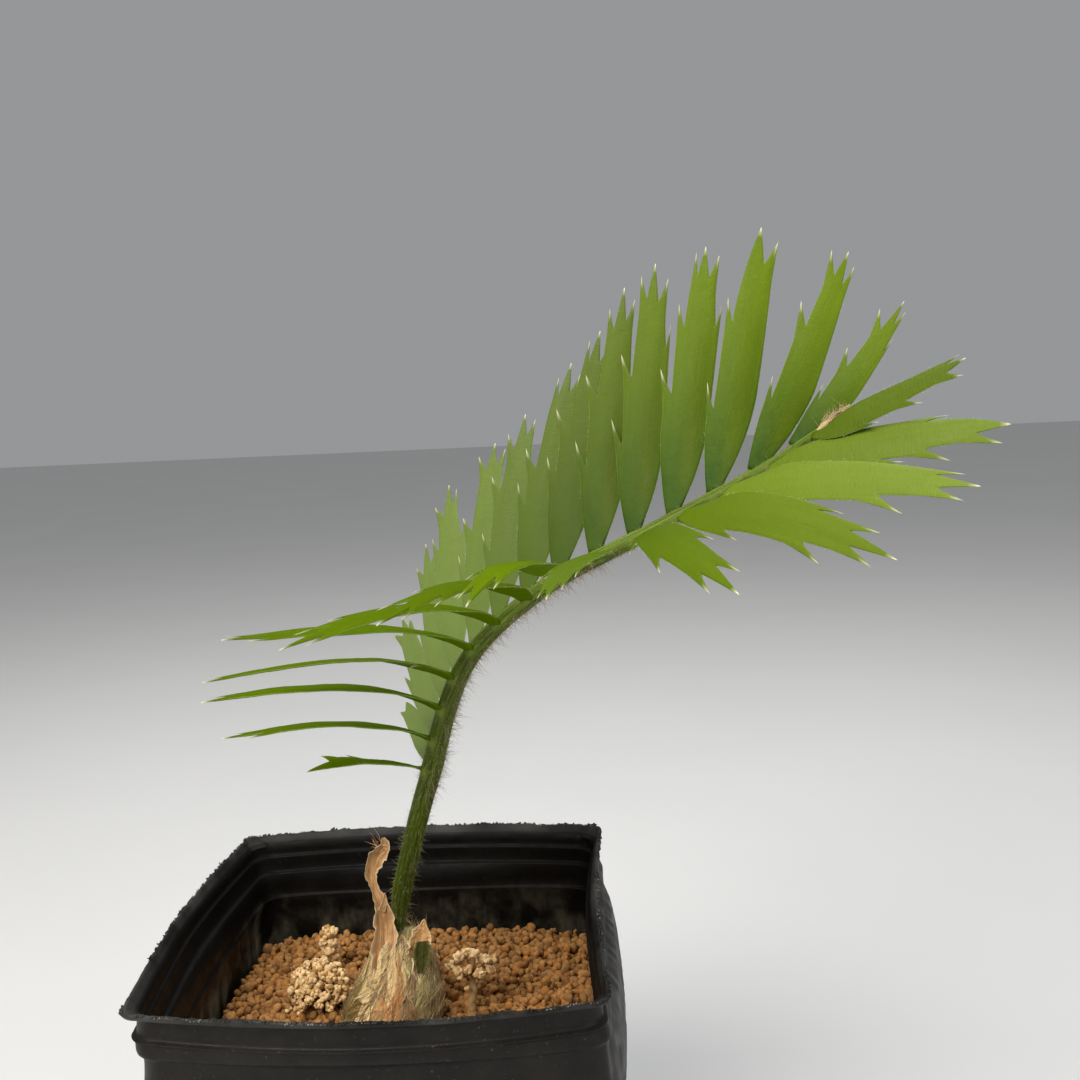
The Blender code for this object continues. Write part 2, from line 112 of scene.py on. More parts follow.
BLADE_ARCH = {  # height of the arch as a share of the blade's length
    "near": (
        (1, 0.09), (2, 0.078), (3, 0.08), (4, 0.07), (5, 0.056), (6, 0.081), (8, 0.08), (9, 0.035),
        (10, 0.06), (11, 0.05), (14, 0.0)),
    "far": ((1, 0.03), (7, 0.03), (10, 0.02), (14, 0.0)),
}
BLADE_SKEW = {  # how far the arch leans towards the foot
    "near": (
        (1, -0.3), (2, 0.39), (3, 0.36), (4, 0.46), (5, 0.53), (6, 0.26), (7, 0.25), (8, -0.1), (9, 0.0),
        (14, 0.0)),
    "far": ((1, 0.0), (14, 0.0)),
}
BLADE_SWEEP = {  # sideways bow as a share of the blade's length
    "near": ((1, 0.0), (10, 0.0), (11, 0.04), (12, 0.03), (14, 0.0)),
    "far": ((1, 0.02), (4, 0.0), (10, 0.0), (14, 0.02)),
}
BLADE_SHOULDER = {  # station where a blade reaches its full width
    "near": ((1, 0.36), (9, 0.32), (12, 0.28), (14, 0.26)),
    "far": ((1, 0.34), (8, 0.32), (11, 0.34), (13, 0.40), (14, 0.42)),
}
FOOT_HALF = 1.0  # half width of a blade where it starts
TWIST_AT_TIP = {"near": ((1, 30), (2, 3), (3, 0), (14, 0)), "far": ((1, 0), (14, 0))}  # degrees added
TWIST_AT_FOOT = {  # share of the twist
    "near": ((1, 0.82), (5, 0.85), (7, 0.7), (9, 0.35)),
    "far": ((1, 0.35), (14, 0.35)),
}
# Painted light and shade: each leaflet's colour scaled to how brightly it is lit
LEAF_PAINTED_LIGHT = {  # share of the row's colour
    "near": (
        (1, 0.82), (2, 0.82), (3, 0.88), (4, 0.97), (5, 1.04), (6, 1.02), (7, 0.93), (8, 1.15), (9, 1.0),
        (11, 0.92), (12, 1.06), (13, 0.94), (14, 0.8)),
    "far": (
        (1, 0.9), (4, 1.1), (5, 1.06), (6, 0.92), (8, 0.82), (9, 0.9), (10, 1.0), (11, 1.13), (12, 1.16),
        (14, 1.14)),
}
# Painted shade of a shallow trough beside the midrib, darker and yellower
LEAF_TROUGH_SHADE = {"near": ((14, 0.0),), "far": ((8, 0.0), (13, 0.75), (14, 0.0))}  # last pair, strength
LEAF_GLOSS = {"near": ((8, 0.004), (11, 0.03), (14, 0.12)), "far": ((14, 0.12),)}  # last pair, specular
SPINES = {  # (station, reach as a share of the half width): basal side, distal side
    "near": (
        (((0.68, 2.6), (0.9, 2.1)), ()),
        (((0.46, 1.55), (0.73, 1.5), (0.94, 0.9)), ((0.9, 0.7),)),
        (((0.535, 1.5), (0.79, 1.5), (0.95, 0.9)), ()),
        (((0.51, 1.55), (0.73, 1.55), (0.945, 0.9)), ((0.28, 1.45),)),
        (((0.5, 1.5), (0.76, 1.45), (0.95, 0.8)), ((0.7, 0.95), (0.95, 0.6))),
        (((0.45, 1.1), (0.73, 1.18), (0.88, 0.95)), ((0.95, 0.5),)),
        (((0.48, 1.1), (0.64, 1.2), (0.87, 1.0)), ((0.69, 0.85), (0.8, 0.78), (0.94, 0.5))),
        (((0.5, 1.1), (0.74, 1.1), (0.95, 0.5)), ((0.89, 0.5),)),
        (((0.47, 1.1), (0.62, 1.2), (0.97, 0.35)), ((0.83, 0.62), (0.95, 0.4))),
        (((0.208, 1.02), (0.633, 1.02), (0.92, 0.55)), ((0.685, 1.03), (0.933, 0.59))),
        (((0.4, 1.2), (0.775, 1.25), (0.945, 0.6)), ((0.77, 0.75), (0.918, 0.59))),
        (((0.302, 1.0), (0.45, 1.2), (0.763, 1.35), (0.963, 0.65)), ((0.948, 0.4),)),
        (((0.6, 1.05), (0.778, 1.3), (0.975, 0.85)), ((0.778, 0.88),)),
        (((0.45, 1.15), (0.72, 1.3), (0.98, 1.0)), ((0.97, 0.45),)),
    ),
    "far": (
        (((0.94, 1.05),), ()),
        (((0.55, 1.2), (0.928, 1.05)), ((0.96, 0.6),)),
        (((0.5, 1.2), (0.878, 0.9)), ((0.93, 0.7),)),
        (((0.45, 1.2), (0.72, 1.1), (0.905, 0.95)), ((0.745, 0.98), (0.96, 0.5))),
        (((0.43, 1.35), (0.62, 1.35), (0.948, 0.9)), ((0.965, 0.68),)),
        (((0.4, 1.35), (0.68, 1.3), (0.9, 0.75)), ((0.97, 0.6),)),
        (((0.45, 1.4), (0.6, 1.35), (0.93, 0.46)), ((0.95, 0.6),)),
        (((0.445, 1.4), (0.648, 1.4), (0.955, 0.4)), ((0.95, 0.6),)),
        (((0.393, 1.4), (0.645, 1.3), (0.915, 0.56)), ((0.955, 0.56),)),
        (((0.4, 1.35), (0.645, 1.2), (0.953, 0.6)), ((0.755, 0.92), (0.94, 0.66))),
        (((0.52, 1.38), (0.77, 0.92), (0.980, 0.4)), ((0.778, 1.0), (0.975, 0.66))),
        (((0.395, 1.2), (0.718, 0.98)), ((0.958, 0.84),)),
        (((0.405, 1.1), (0.74, 1.26), (0.985, 0.78)), ((0.958, 0.51),)),
        (((0.385, 1.05), (0.63, 1.26), (0.9, 0.97)), ((0.803, 0.66), (0.96, 0.42))),
    ),
}


# ---- arrays


def smooth(u):
    """Smooth step: 3u^2 - 2u^3 on 0..1."""
    u = np.clip(u, 0.0, 1.0)
    return u * u * (3 - 2 * u)


def unit(vectors):
    """Vectors scaled to length 1."""
    return vectors / np.linalg.norm(vectors, axis=-1, keepdims=True)


def hermite(stations, values, at):
    """Smooth cubic through values at stations, read at the places in at."""
    stations = np.asarray(stations, float)
    values = np.asarray(values, float)
    slopes = np.gradient(values, stations, axis=0)
    at = np.clip(np.atleast_1d(np.asarray(at, float)), stations[0], stations[-1])
    i = np.clip(np.searchsorted(stations, at, side="right") - 1, 0, len(stations) - 2)
    span = (stations[i + 1] - stations[i])[:, None]
    u = (at - stations[i])[:, None] / span
    rise = 3 * u**2 - 2 * u**3
    return (
        (1 - rise) * values[i]
        + rise * values[i + 1]
        + (u**3 - 2 * u**2 + u) * span * slopes[i]
        + (u**3 - u**2) * span * slopes[i + 1]
    )


def at_pair(table, pair):
    """A table's value for a pair number, straight between its entries."""
    numbers, values = zip(*table)
    return float(np.interp(pair, numbers, values))


def lattice_noise(points, cell, seed):
    """Value noise, -1 to 1: a random value on each corner of a cubic lattice, blended by smooth steps."""
    scaled = np.asarray(points, float) / cell + 512.0
    base = np.floor(scaled).astype(np.int64)
    part = smooth(scaled - base)
    total = np.zeros(scaled.shape[:-1])
    for corner in range(8):
        offset = np.array([(corner >> axis) & 1 for axis in range(3)])
        spot = base + offset
        code = spot[..., 0] * 374761393 + spot[..., 1] * 668265263 + spot[..., 2] * 2147483647
        code = (code + seed * 974711) & 0xFFFFFFFF
        code = ((code ^ (code >> 13)) * 1274126177) & 0xFFFFFFFF
        code = (code ^ (code >> 16)) & 0xFFFFFF
        weight = np.prod(np.where(offset == 1, part, 1 - part), axis=-1)
        total += weight * (code / 0x7FFFFF - 1.0)
    return total


def layered_noise(points, cell, seed, layers=3):
    """Sum of lattice noises, each half the cell and half the strength of the one before."""
    total = 0.0
    for layer in range(layers):
        total = total + lattice_noise(points, cell / 2**layer, seed + layer) / 2**layer
    return total


def grid_quads(rows, cols, wrap=False):
    """Quads between neighbouring rows and columns of a grid; wrap joins the last column to the first."""
    r, c = np.meshgrid(np.arange(rows - 1), np.arange(cols if wrap else cols - 1), indexing="ij")
    after = (c + 1) % cols
    quads = np.stack([r * cols + c, r * cols + after, (r + 1) * cols + after, (r + 1) * cols + c], axis=-1)
    return quads.reshape(-1, 4)


def closed_tube(rings, grain=None, mask=None):
    """Rings (rows, cols, 3) joined round and along, each end closed by a fan to its centre."""
    rows, cols = rings.shape[:2]
    points = rings.reshape(-1, 3)
    first = np.arange(cols)
    last = (rows - 1) * cols + first
    start, end = rows * cols, rows * cols + 1
    points = np.vstack([points, rings[0].mean(0), rings[-1].mean(0)])
    tris = np.vstack([
        np.stack([np.full(cols, start), np.roll(first, -1), first], axis=1),
        np.stack([np.full(cols, end), last, np.roll(last, -1)], axis=1),
    ])
    surface = {"points": points, "quads": grid_quads(rows, cols, True), "tris": tris}
    for name, values in (("grain", grain), ("mask", mask)):
        if values is not None:
            flat = values.reshape(rows * cols, -1)
            surface[name] = np.vstack([flat, values[0].mean(0), values[-1].mean(0)])
    return surface


def join(surfaces):
    """One surface from several, their indices shifted; a part's "tint" is for all its faces."""
    joined = {key: [] for key in ("points", "quads", "tris", "grain", "mask", "quad_tint", "tri_tint")}
    start = 0
    for surface in surfaces:
        count = len(surface["points"])
        joined["points"].append(surface["points"])
        joined["quads"].append(surface["quads"] + start)
        joined["tris"].append(surface["tris"] + start)
        joined["grain"].append(surface.get("grain", np.zeros((count, 3))))
        joined["mask"].append(surface.get("mask", np.zeros((count, 4))))
        for kind in ("quad", "tri"):
            tint = np.full(len(surface[kind + "s"]), surface.get("tint", 0))
            joined[kind + "_tint"].append(tint if "tint" in surface else surface.get(kind + "_tint", tint))
        start += count
    return {key: np.concatenate(values) for key, values in joined.items()}


def icosphere(splits):
    """Unit sphere of triangles: an icosahedron whose faces are split in four splits times."""
    g = (1 + 5**0.5) / 2
    points = unit(np.array([
        (-1, g, 0), (1, g, 0), (-1, -g, 0), (1, -g, 0), (0, -1, g), (0, 1, g),
        (0, -1, -g), (0, 1, -g), (g, 0, -1), (g, 0, 1), (-g, 0, -1), (-g, 0, 1),
    ], float))
    tris = np.array([
        (0, 11, 5), (0, 5, 1), (0, 1, 7), (0, 7, 10), (0, 10, 11), (1, 5, 9), (5, 11, 4), (11, 10, 2),
        (10, 7, 6), (7, 1, 8), (3, 9, 4), (3, 4, 2), (3, 2, 6), (3, 6, 8), (3, 8, 9), (4, 9, 5), (2, 4, 11),
        (6, 2, 10), (8, 6, 7), (9, 8, 1),
    ])
    for _ in range(splits):
        edges = np.sort(np.stack([tris, np.roll(tris, -1, axis=1)], axis=-1).reshape(-1, 2), axis=1)
        pairs, which = np.unique(edges, axis=0, return_inverse=True)
        middle = unit(points[pairs].mean(1))
        number = which.reshape(-1, 3) + len(points)
        a, b, c = tris.T
        ab, bc, ca = number.T
        points = np.vstack([points, middle])
        tris = np.concatenate([
            np.stack(corners, 1) for corners in ((a, ab, ca), (b, bc, ab), (c, ca, bc), (ab, bc, ca))
        ])
    return points, tris


def lumps(centres, radii, splits, rng, roughness, seed, squash):
    """Many uneven balls: a unit sphere scaled along three random axes, turned, and roughened by noise."""
    sphere, tris = icosphere(splits)
    count = len(centres)
    turn, _ = np.linalg.qr(rng.normal(size=(count, 3, 3)))
    turn *= np.sign(np.linalg.det(turn))[:, None, None]
    scale = 1.0 + rng.uniform(-squash, squash, size=(count, 1, 3))
    shape = np.einsum("nij,nkj->nki", turn, sphere[None] * scale)
    points = centres[:, None] + shape * np.asarray(radii)[:, None, None]
    size = float(np.mean(radii))
    push = lattice_noise(points, size * 0.9, seed)[..., None] * unit(shape) * size * roughness
    index = tris[None] + (np.arange(count) * len(sphere))[:, None, None]
    points = (points + push).reshape(-1, 3)
    return {"points": points, "quads": np.zeros((0, 4), int), "tris": index.reshape(-1, 3)}


def deal(surface, tints):
    """Give each of a surface's equal groups of triangles its own tint."""
    surface["quad_tint"] = np.zeros(0, int)
    surface["tri_tint"] = np.repeat(tints, len(surface["tris"]) // len(tints))
    return surface


def closed_sheet(outer, inner, grain, edge):
    """A thin sheet from its two faces, closed all round, with the grain and the edge's mask on both."""
    pairs = ((outer, inner), (grain, grain), (edge, edge))
    rings, grain, edge = (np.concatenate([front, back[:, ::-1]], axis=1) for front, back in pairs)
    mask = np.zeros(rings.shape[:2] + (4,))
    mask[..., 0] = edge
    return closed_tube(rings, grain, mask)


def turns(count):
    """Even angles once round."""
    return np.linspace(0, 2 * np.pi, count, endpoint=False)


def angle_between(angle, other):
    """Size of the turn between two angles, 0 to pi."""
    return np.abs((angle - other + np.pi) % (2 * np.pi) - np.pi)


def threads(roots, directions, lengths, bends, radius, rows=5, sides=3):
    """Many tapering threads: root + direction*length*s + bend*length*s^2, thinning to nothing at s = 1."""
    count = len(roots)
    s = np.linspace(0.0, 1.0, rows)
    length = lengths[:, None, None]
    line = roots[:, None] + directions[:, None] * length * s[None, :, None]
    line = line + bends[:, None] * length * (s**2)[None, :, None]
    side = unit(np.cross(directions, np.array((0.31, 0.83, 0.46))))
    other = unit(np.cross(directions, side))
    angle = 2 * np.pi * np.arange(sides) / sides
    ring = side[:, None] * np.cos(angle)[None, :, None] + other[:, None] * np.sin(angle)[None, :, None]
    width = np.broadcast_to(np.asarray(radius, float), (count,))[:, None] * (1 - 0.92 * s**1.5)[None]
    points = line[:, :, None] + ring[:, None] * width[:, :, None, None]
    block = grid_quads(rows, sides, True)
    quads = block[None] + (np.arange(count) * rows * sides)[:, None, None]
    tip = np.arange(count)[:, None] * rows * sides + (rows - 1) * sides
    tris = np.hstack([tip, tip + 1, tip + 2])
    return {"points": points.reshape(-1, 3), "quads": quads.reshape(-1, 4), "tris": tris}


# ---- Blender side


def make_piece(name, surface, materials, nodes=(), smooth_angle=180.0):
    """Mesh object from a surface in millimetres, riding on the one body and standing for the named nodes."""
    mesh = bpy.data.meshes.new(name)
    faces = surface["quads"].tolist() + surface["tris"].tolist()
    mesh.from_pydata((surface["points"] * MM).tolist(), [], faces)
    for material in materials:
        mesh.materials.append(material)
    if "quad_tint" in surface and len(materials) > 1:
        tints = np.concatenate([surface["quad_tint"], surface["tri_tint"]]).astype(np.int32)
        mesh.polygons.foreach_set("material_index", tints)
    for label, kind, field in (("grain", "FLOAT_VECTOR", "vector"), ("mask", "FLOAT_COLOR", "color")):
        if label in surface:
            values = mesh.attributes.new(label, kind, "POINT")
            values.data.foreach_set(field, surface[label].astype(np.float32).ravel())
    mesh.polygons.foreach_set("use_smooth", np.ones(len(mesh.polygons), bool))
    mesh.update()
    if smooth_angle < 180.0:
        mesh.set_sharp_from_angle(angle=math.radians(smooth_angle))
    obj = bpy.data.objects.new(name, mesh)
    bpy.context.scene.collection.objects.link(obj)
    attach(obj, BODY)
    if nodes:
        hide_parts(*nodes)


class Graph:
    """Adds nodes to a tree; an input is fed by a link if its value is a socket."""

    def __init__(self, tree):
        self.tree = tree

    def add(self, kind, inputs=(), **settings):
        node = self.tree.nodes.new(kind)
        for key, value in settings.items():
            setattr(node, key, value)
        for key, value in dict(inputs).items():
            self.feed(node.inputs[key], value)
        return node

    def feed(self, socket, value):
        if isinstance(value, bpy.types.NodeSocket):
            self.tree.links.new(value, socket)
        else:
            socket.default_value = value

    def maths(self, operation, *values):
        node = self.add("ShaderNodeMath", operation=operation)
        for socket, value in zip(node.inputs, values):
            self.feed(socket, value)
        return node.outputs[0]

    def product(self, first, *others):
        for other in others:
            first = self.maths("MULTIPLY", first, other)
        return first

    def mix(self, factor, low, high):
        node = self.add("ShaderNodeMix", {0: factor, 6: low, 7: high}, data_type="RGBA")
        return node.outputs[2]

    def window(self, value, low, high, to_low=0.0, to_high=1.0):
        """Values from low to high mapped onto to_low to to_high, held at both ends."""
        node = self.add("ShaderNodeMapRange", {0: value, 1: low, 2: high, 3: to_low, 4: to_high})
        return node.outputs[0]

    def noise(self, vector, scale, detail=3.0, roughness=0.55):
        values = {"Vector": vector, "Scale": scale, "Detail": detail, "Roughness": roughness}
        return self.add("ShaderNodeTexNoise", values).outputs[0]


def rgba(colour, k=1.0):
    """A colour times k, with full alpha."""
    return (colour[0] * k, colour[1] * k, colour[2] * k, 1.0)


def make_group(name, inputs, outputs):
    """A shader group with named sockets; returns it, its graph and the sockets inside."""
    group = bpy.data.node_groups.new(name, "ShaderNodeTree")
    for label, kind, value in inputs:
        socket = group.interface.new_socket(label, in_out="INPUT", socket_type="NodeSocket" + kind)
        if value is not None:
            socket.default_value = value
    for label, kind in outputs:
        group.interface.new_socket(label, in_out="OUTPUT", socket_type="NodeSocket" + kind)
    graph = Graph(group)
    return group, graph, graph.add("NodeGroupInput").outputs, graph.add("NodeGroupOutput").inputs


def strands_group():
    """Streaks along one axis: noise on coordinates squeezed by Stretch, sharpened to a mask."""
    group, graph, given, put = make_group(
        "strands",
        (("Vector", "Vector", None), ("Stretch", "Vector", (1.0, 1.0, 1.0)),
         ("Sharpness", "Float", 0.5)),
        (("Mask", "Float"), ("Height", "Float")),
    )
    factors = {0: given["Vector"], 1: given["Stretch"]}
    squeezed = graph.add("ShaderNodeVectorMath", factors, operation="MULTIPLY")
    value = graph.noise(squeezed.outputs[0], 1.0, 4.0, 0.6)
    low = graph.maths("MULTIPLY_ADD", given["Sharpness"], 0.28, 0.2)
    high = graph.maths("SUBTRACT", 1.0, low)
    graph.feed(put["Mask"], graph.add("ShaderNodeMapRange", {0: value, 1: low, 2: high}).outputs[0])
    graph.feed(put["Height"], value)
    return group


def mottle_group():
    """Two colours in soft patches: noise at Scale, its middle range stretched, picks between them."""
    group, graph, given, put = make_group(
        "mottle",
        (("Vector", "Vector", None), ("Scale", "Float", 300.0),
         ("Low", "Color", (0.0, 0.0, 0.0, 1.0)), ("High", "Color", (1.0, 1.0, 1.0, 1.0))),
        (("Colour", "Color"), ("Mask", "Float")),
    )
    value = graph.noise(given["Vector"], given["Scale"], 5.0, 0.6)
    mask = graph.window(value, 0.32, 0.68)
    graph.feed(put["Colour"], graph.mix(mask, given["Low"], given["High"]))
    graph.feed(put["Mask"], mask)
    return group


GROUPS = {}


def shared_group(name):
    """Each shared effect is built once, when the first material asks for it."""
    if name not in GROUPS:
        GROUPS[name] = {"strands": strands_group, "mottle": mottle_group}[name]()
    return GROUPS[name]


def start_material(name, roughness, specular, sheen=0.0, subsurface=0.0):
    """New Principled material; returns it with its graph, shader and Object coordinates."""
    material = bpy.data.materials.new(name)
    material.use_nodes = True
    graph = Graph(material.node_tree)
    shader = material.node_tree.nodes["Principled BSDF"]
    for socket, value in (("Roughness", roughness), ("Specular IOR Level", specular), ("Sheen Weight", sheen),
                          ("Subsurface Weight", subsurface)):
        shader.inputs[socket].default_value = value
    place = graph.add("ShaderNodeTexCoord").outputs["Object"]
    return material, graph, shader, place


def use_group(graph, name, *inputs):
    """Place a shared effect and feed its inputs in their order."""
    return graph.add("ShaderNodeGroup", enumerate(inputs), node_tree=shared_group(name)).outputs


def strands(graph, vector, stretch, sharpness):
    """Streaks' mask and height."""
    return use_group(graph, "strands", vector, stretch, sharpness)


def add_bump(graph, shader, height, distance, strength):
    """Feed the shader's normal from a height, its relief in metres."""
    bump = graph.add("ShaderNodeBump", {"Height": height, "Distance": distance, "Strength": strength})
    graph.feed(shader.inputs["Normal"], bump.outputs[0])


def read_attribute(graph, name):
    """A mesh attribute's node."""
    return graph.add("ShaderNodeAttribute", attribute_name=name, attribute_type="GEOMETRY")


def mask_channels(graph):
    """The four channels of the mask attribute."""
    mask = read_attribute(graph, "mask")
    red, green, blue = graph.add("ShaderNodeSeparateColor", {0: mask.outputs["Color"]}).outputs
    return red, green, blue, mask.outputs["Alpha"]


def mottled_material(name, roughness, specular, scale, low, high, bump=None):
    """Two colours in soft patches; bump is a noise's scale, detail and roughness, then distance, strength."""
    material, graph, shader, place = start_material(name, roughness, specular)
    tone = use_group(graph, "mottle", place, scale, low, high)
    graph.feed(shader.inputs["Base Color"], tone["Colour"])
    if bump:
        fineness, detail, rough, distance, strength = bump
        add_bump(graph, shader, graph.noise(place, fineness, detail, rough), distance, strength)
    return material


# ---- pot


SIDE_POINTS = 72  # points along a side and round a corner of each ring
CORNER_POINTS = 14
INSIDE_LIP = 3  # rings inside the rim that keep the outside's gloss
STAIN_BAND = (0.0655, 0.0775)  # metres: streaks inside fade out between these heights,
STAIN_LEFT = (-0.042, -0.036)  # and halve between these places across
WORN_RIM = (0.0880, 0.0893)
WALL_HEIGHTS = (5, 10, 16, 22, 28, 34, 40, 46, 52, 58, 64, 69, 73, 76, 78)
CORNER_HEIGHTS = (0.0, 60.0, 80.0, 84.0, 88.2, 89.0, 90.0)
CORNER_RADII = (8.0, 5.5, 5.0, 5.0, 6.0, 3.5, 3.0)
FOOT_OUTSIDE = ((0.0, 31.0), (0.0, 32.4), (0.35, 33.3), (1.1, 33.95))
FLOOR_INSIDE = ((2.6, 32.9), (2.15, 32.6), (2.0, 32.1), (2.0, 31.0))
INSIDE_HEIGHTS = (73, 70, 66, 62, 54, 44, 30, 14, 4)
FLANGE_OUTSIDE = (  # height, half width: from the top of the wall up the outside to the rim
    (79.6, 43.85), (80.1, 43.9), (80.35, 44.0), (80.6, 44.4), (80.9, 44.55), (81.5, 44.55),
    (82.4, 44.4), (83.1, 44.3), (83.4, 44.25), (83.6, 44.4), (83.75, 44.6), (83.9, 44.62),
    (84.05, 44.42), (84.2, 44.05), (84.4, 43.85), (85.2, 43.8), (86.2, 43.8), (87.2, 43.82),
    (87.9, 43.88), (88.25, 44.05), (88.5, 44.4), (88.7, 44.95), (88.95, 45.25), (89.3, 45.35),
    (89.65, 45.35), (89.9, 45.2), (90.0, 44.98),
)
FLANGE_INSIDE = (  # and down the inside past two ledges
    (89.97, 44.75), (89.8, 44.55), (89.3, 44.3), (88.6, 43.8), (87.9, 43.25), (86.6, 43.05),
    (85.8, 42.95), (85.5, 42.8), (85.3, 42.5), (85.1, 42.35), (84.8, 42.3), (83.4, 42.25),
    (81.9, 42.2), (81.6, 42.1), (81.4, 41.85), (81.25, 41.6), (81.0, 41.5), (79.0, 41.45),
    (77.0, 41.42), (75.8, 41.4), (75.5, 41.25), (75.35, 41.0), (75.1, 40.85),
)


def wall_half(height):
    """Half width of the pot's wall: a taper that swells a little under the flange."""
    taper = np.array(WALL_TAPER, float)
    return hermite(taper[:, 0], taper[:, 1:], np.ravel(height))[:, 0].reshape(np.shape(height))


def corner_radius(height):
    """Corner radius: rounded below, tight at the rim."""
    return np.interp(height, CORNER_HEIGHTS, CORNER_RADII)


def side_bow(height, number, t):
    """How far a side stands out at t = -1 to 1 along it: 1 - t^2 at the rim, 1 - t^4 on the wall."""
    height = np.asarray(height, float)
    upper = smooth((height - 77.0) / 6.0)
    body = BODY_BOW[number] * np.exp(-(((height - BODY_BOW_AT) / 30.0) ** 2)) * smooth(height / 25.0)
    return RIM_BOW[number] * upper * (1 - t**2) + body * (1 - upper) * (1 - t**4)


def side_shift(height):
    """Sideways shift of the pot's section towards -X: little on the upper wall, more at the rim."""
    height = np.asarray(height, float)
    upper = smooth((height - 79.0) / 6.0)
    return RIM_SHIFT * upper + BODY_SHIFT * (1 - upper) * smooth(height / 60.0)


def square_rings(halves, heights):
    """Rounded squares, one for each row: bowed sides and quarter-round corners, shifted with height."""
    t = np.linspace(-1.0, 1.0, SIDE_POINTS, endpoint=False)[None]
    angle = np.linspace(0.0, np.pi / 2, CORNER_POINTS, endpoint=False)[None]
    half, height = (np.asarray(values, float)[:, None] for values in (halves, heights))
    corner = np.minimum(corner_radius(height), 0.45 * half)
    flat = half - corner
    fill = np.clip(half / 30.0, 0.0, 1.0)
    sides = []
    for number in range(4):
        x = np.hstack([half + side_bow(height, number, t) * fill, flat + corner * np.cos(angle)])
        y = np.hstack([flat * t, flat + corner * np.sin(angle)])
        turn = number * np.pi / 2
        across = x * np.cos(turn) - y * np.sin(turn) + side_shift(height)
        back = x * np.sin(turn) + y * np.cos(turn)
        sides.append(np.stack([across, back, np.broadcast_to(height, x.shape)], axis=-1))
    return np.concatenate(sides, axis=1)


def pot_rings():
    """The pot's rings, up the outside and down the inside, and the number of the first one inside.

    The wall has soft waves that grow upwards and faint upright streaks on its +X side, and the rim is rough.
    """
    heights = np.array(WALL_HEIGHTS, float)
    foot = [*FOOT_OUTSIDE, (1.7, float(wall_half(1.7)))]
    outside = foot + list(zip(heights, wall_half(heights))) + list(FLANGE_OUTSIDE)
    down = np.array(INSIDE_HEIGHTS, float)
    inside = [*FLANGE_INSIDE, *zip(down, np.minimum(wall_half(down) - WALL, INNER_HALF)), *FLOOR_INSIDE]
    heights, halves = np.array(outside + inside).T
    rings = square_rings(halves, heights)
    outward = unit(rings[..., :2])
    flat_place = rings * np.array((1.0, 1.0, 0.35))
    wave = 0.35 * lattice_noise(flat_place, 24.0, SEED) + 0.12 * lattice_noise(flat_place, 7.0, SEED + 1)
    rings[..., :2] += outward * (wave * (heights[:, None] / POT_HEIGHT) ** 1.5)[..., None]
    streak_at = np.stack([rings[..., 1], rings[..., 2] * 0.12, np.zeros(rings.shape[:2])], axis=-1)
    streak = 0.22 * lattice_noise(streak_at, 2.2, SEED + 4) * smooth((rings[..., 0] - 40.0) / 3.0)
    rings[..., 0] += streak * (heights[:, None] < 80)
    edge = np.clip((heights - 88.9) / 1.1, 0.0, 1.0)[:, None]
    rough = 0.26 * lattice_noise(rings, 1.1, SEED + 2) + 0.28 * lattice_noise(rings, 6.0, SEED + 3)
    rings[..., 2] += edge * rough
    rings[..., :2] += outward * (edge * 0.12 * lattice_noise(rings, 0.9, SEED + 8))[..., None]
    return rings, len(outside)


def floor_plates():
    """Floor with four drain holes: in each quarter, lines run from the hole's circle to the quarter's edge.

    The edge is met where a ray from the hole's centre reaches x or y = 0 or FLOOR_HALF, or the corner's arc.
    """
    angle = turns(96)
    ray = np.stack([np.cos(angle), np.sin(angle)], axis=1)
    safe = np.where(np.abs(ray) < 1e-9, 1e-9, ray)
    reach = np.where(safe > 0, (FLOOR_HALF - DRAIN_OFFSET) / safe, -DRAIN_OFFSET / safe).min(1)
    lean = ray @ np.full(2, DRAIN_OFFSET - (FLOOR_HALF - FLOOR_CORNER))
    arc = -lean + np.sqrt(lean**2 - 2 * (DRAIN_OFFSET - FLOOR_HALF + FLOOR_CORNER) ** 2 + FLOOR_CORNER**2)
    in_corner = (DRAIN_OFFSET + ray * arc[:, None] > FLOOR_HALF - FLOOR_CORNER).all(1)
    reach = np.where(in_corner, np.minimum(arc, reach), reach)
    plates = []
    low, high = FLOOR_FACES
    for sx, sy in ((1, 1), (-1, 1), (-1, -1), (1, -1)):
        rings = []
        for share, z in ((1, low), (0, low), (0, high), (1, high)):
            radius = DRAIN_RADIUS + share * (reach - DRAIN_RADIUS)
            flat = (DRAIN_OFFSET + ray * radius[:, None]) * np.array((sx, sy))
            rings.append(np.column_stack([flat, np.full(len(flat), z)]))
        quads = grid_quads(5, len(angle), True) % (4 * len(angle))
        if sx * sy > 0:
            quads = quads[:, ::-1]
        plates.append({"points": np.concatenate(rings), "quads": quads, "tris": np.zeros((0, 3), int)})
    return plates


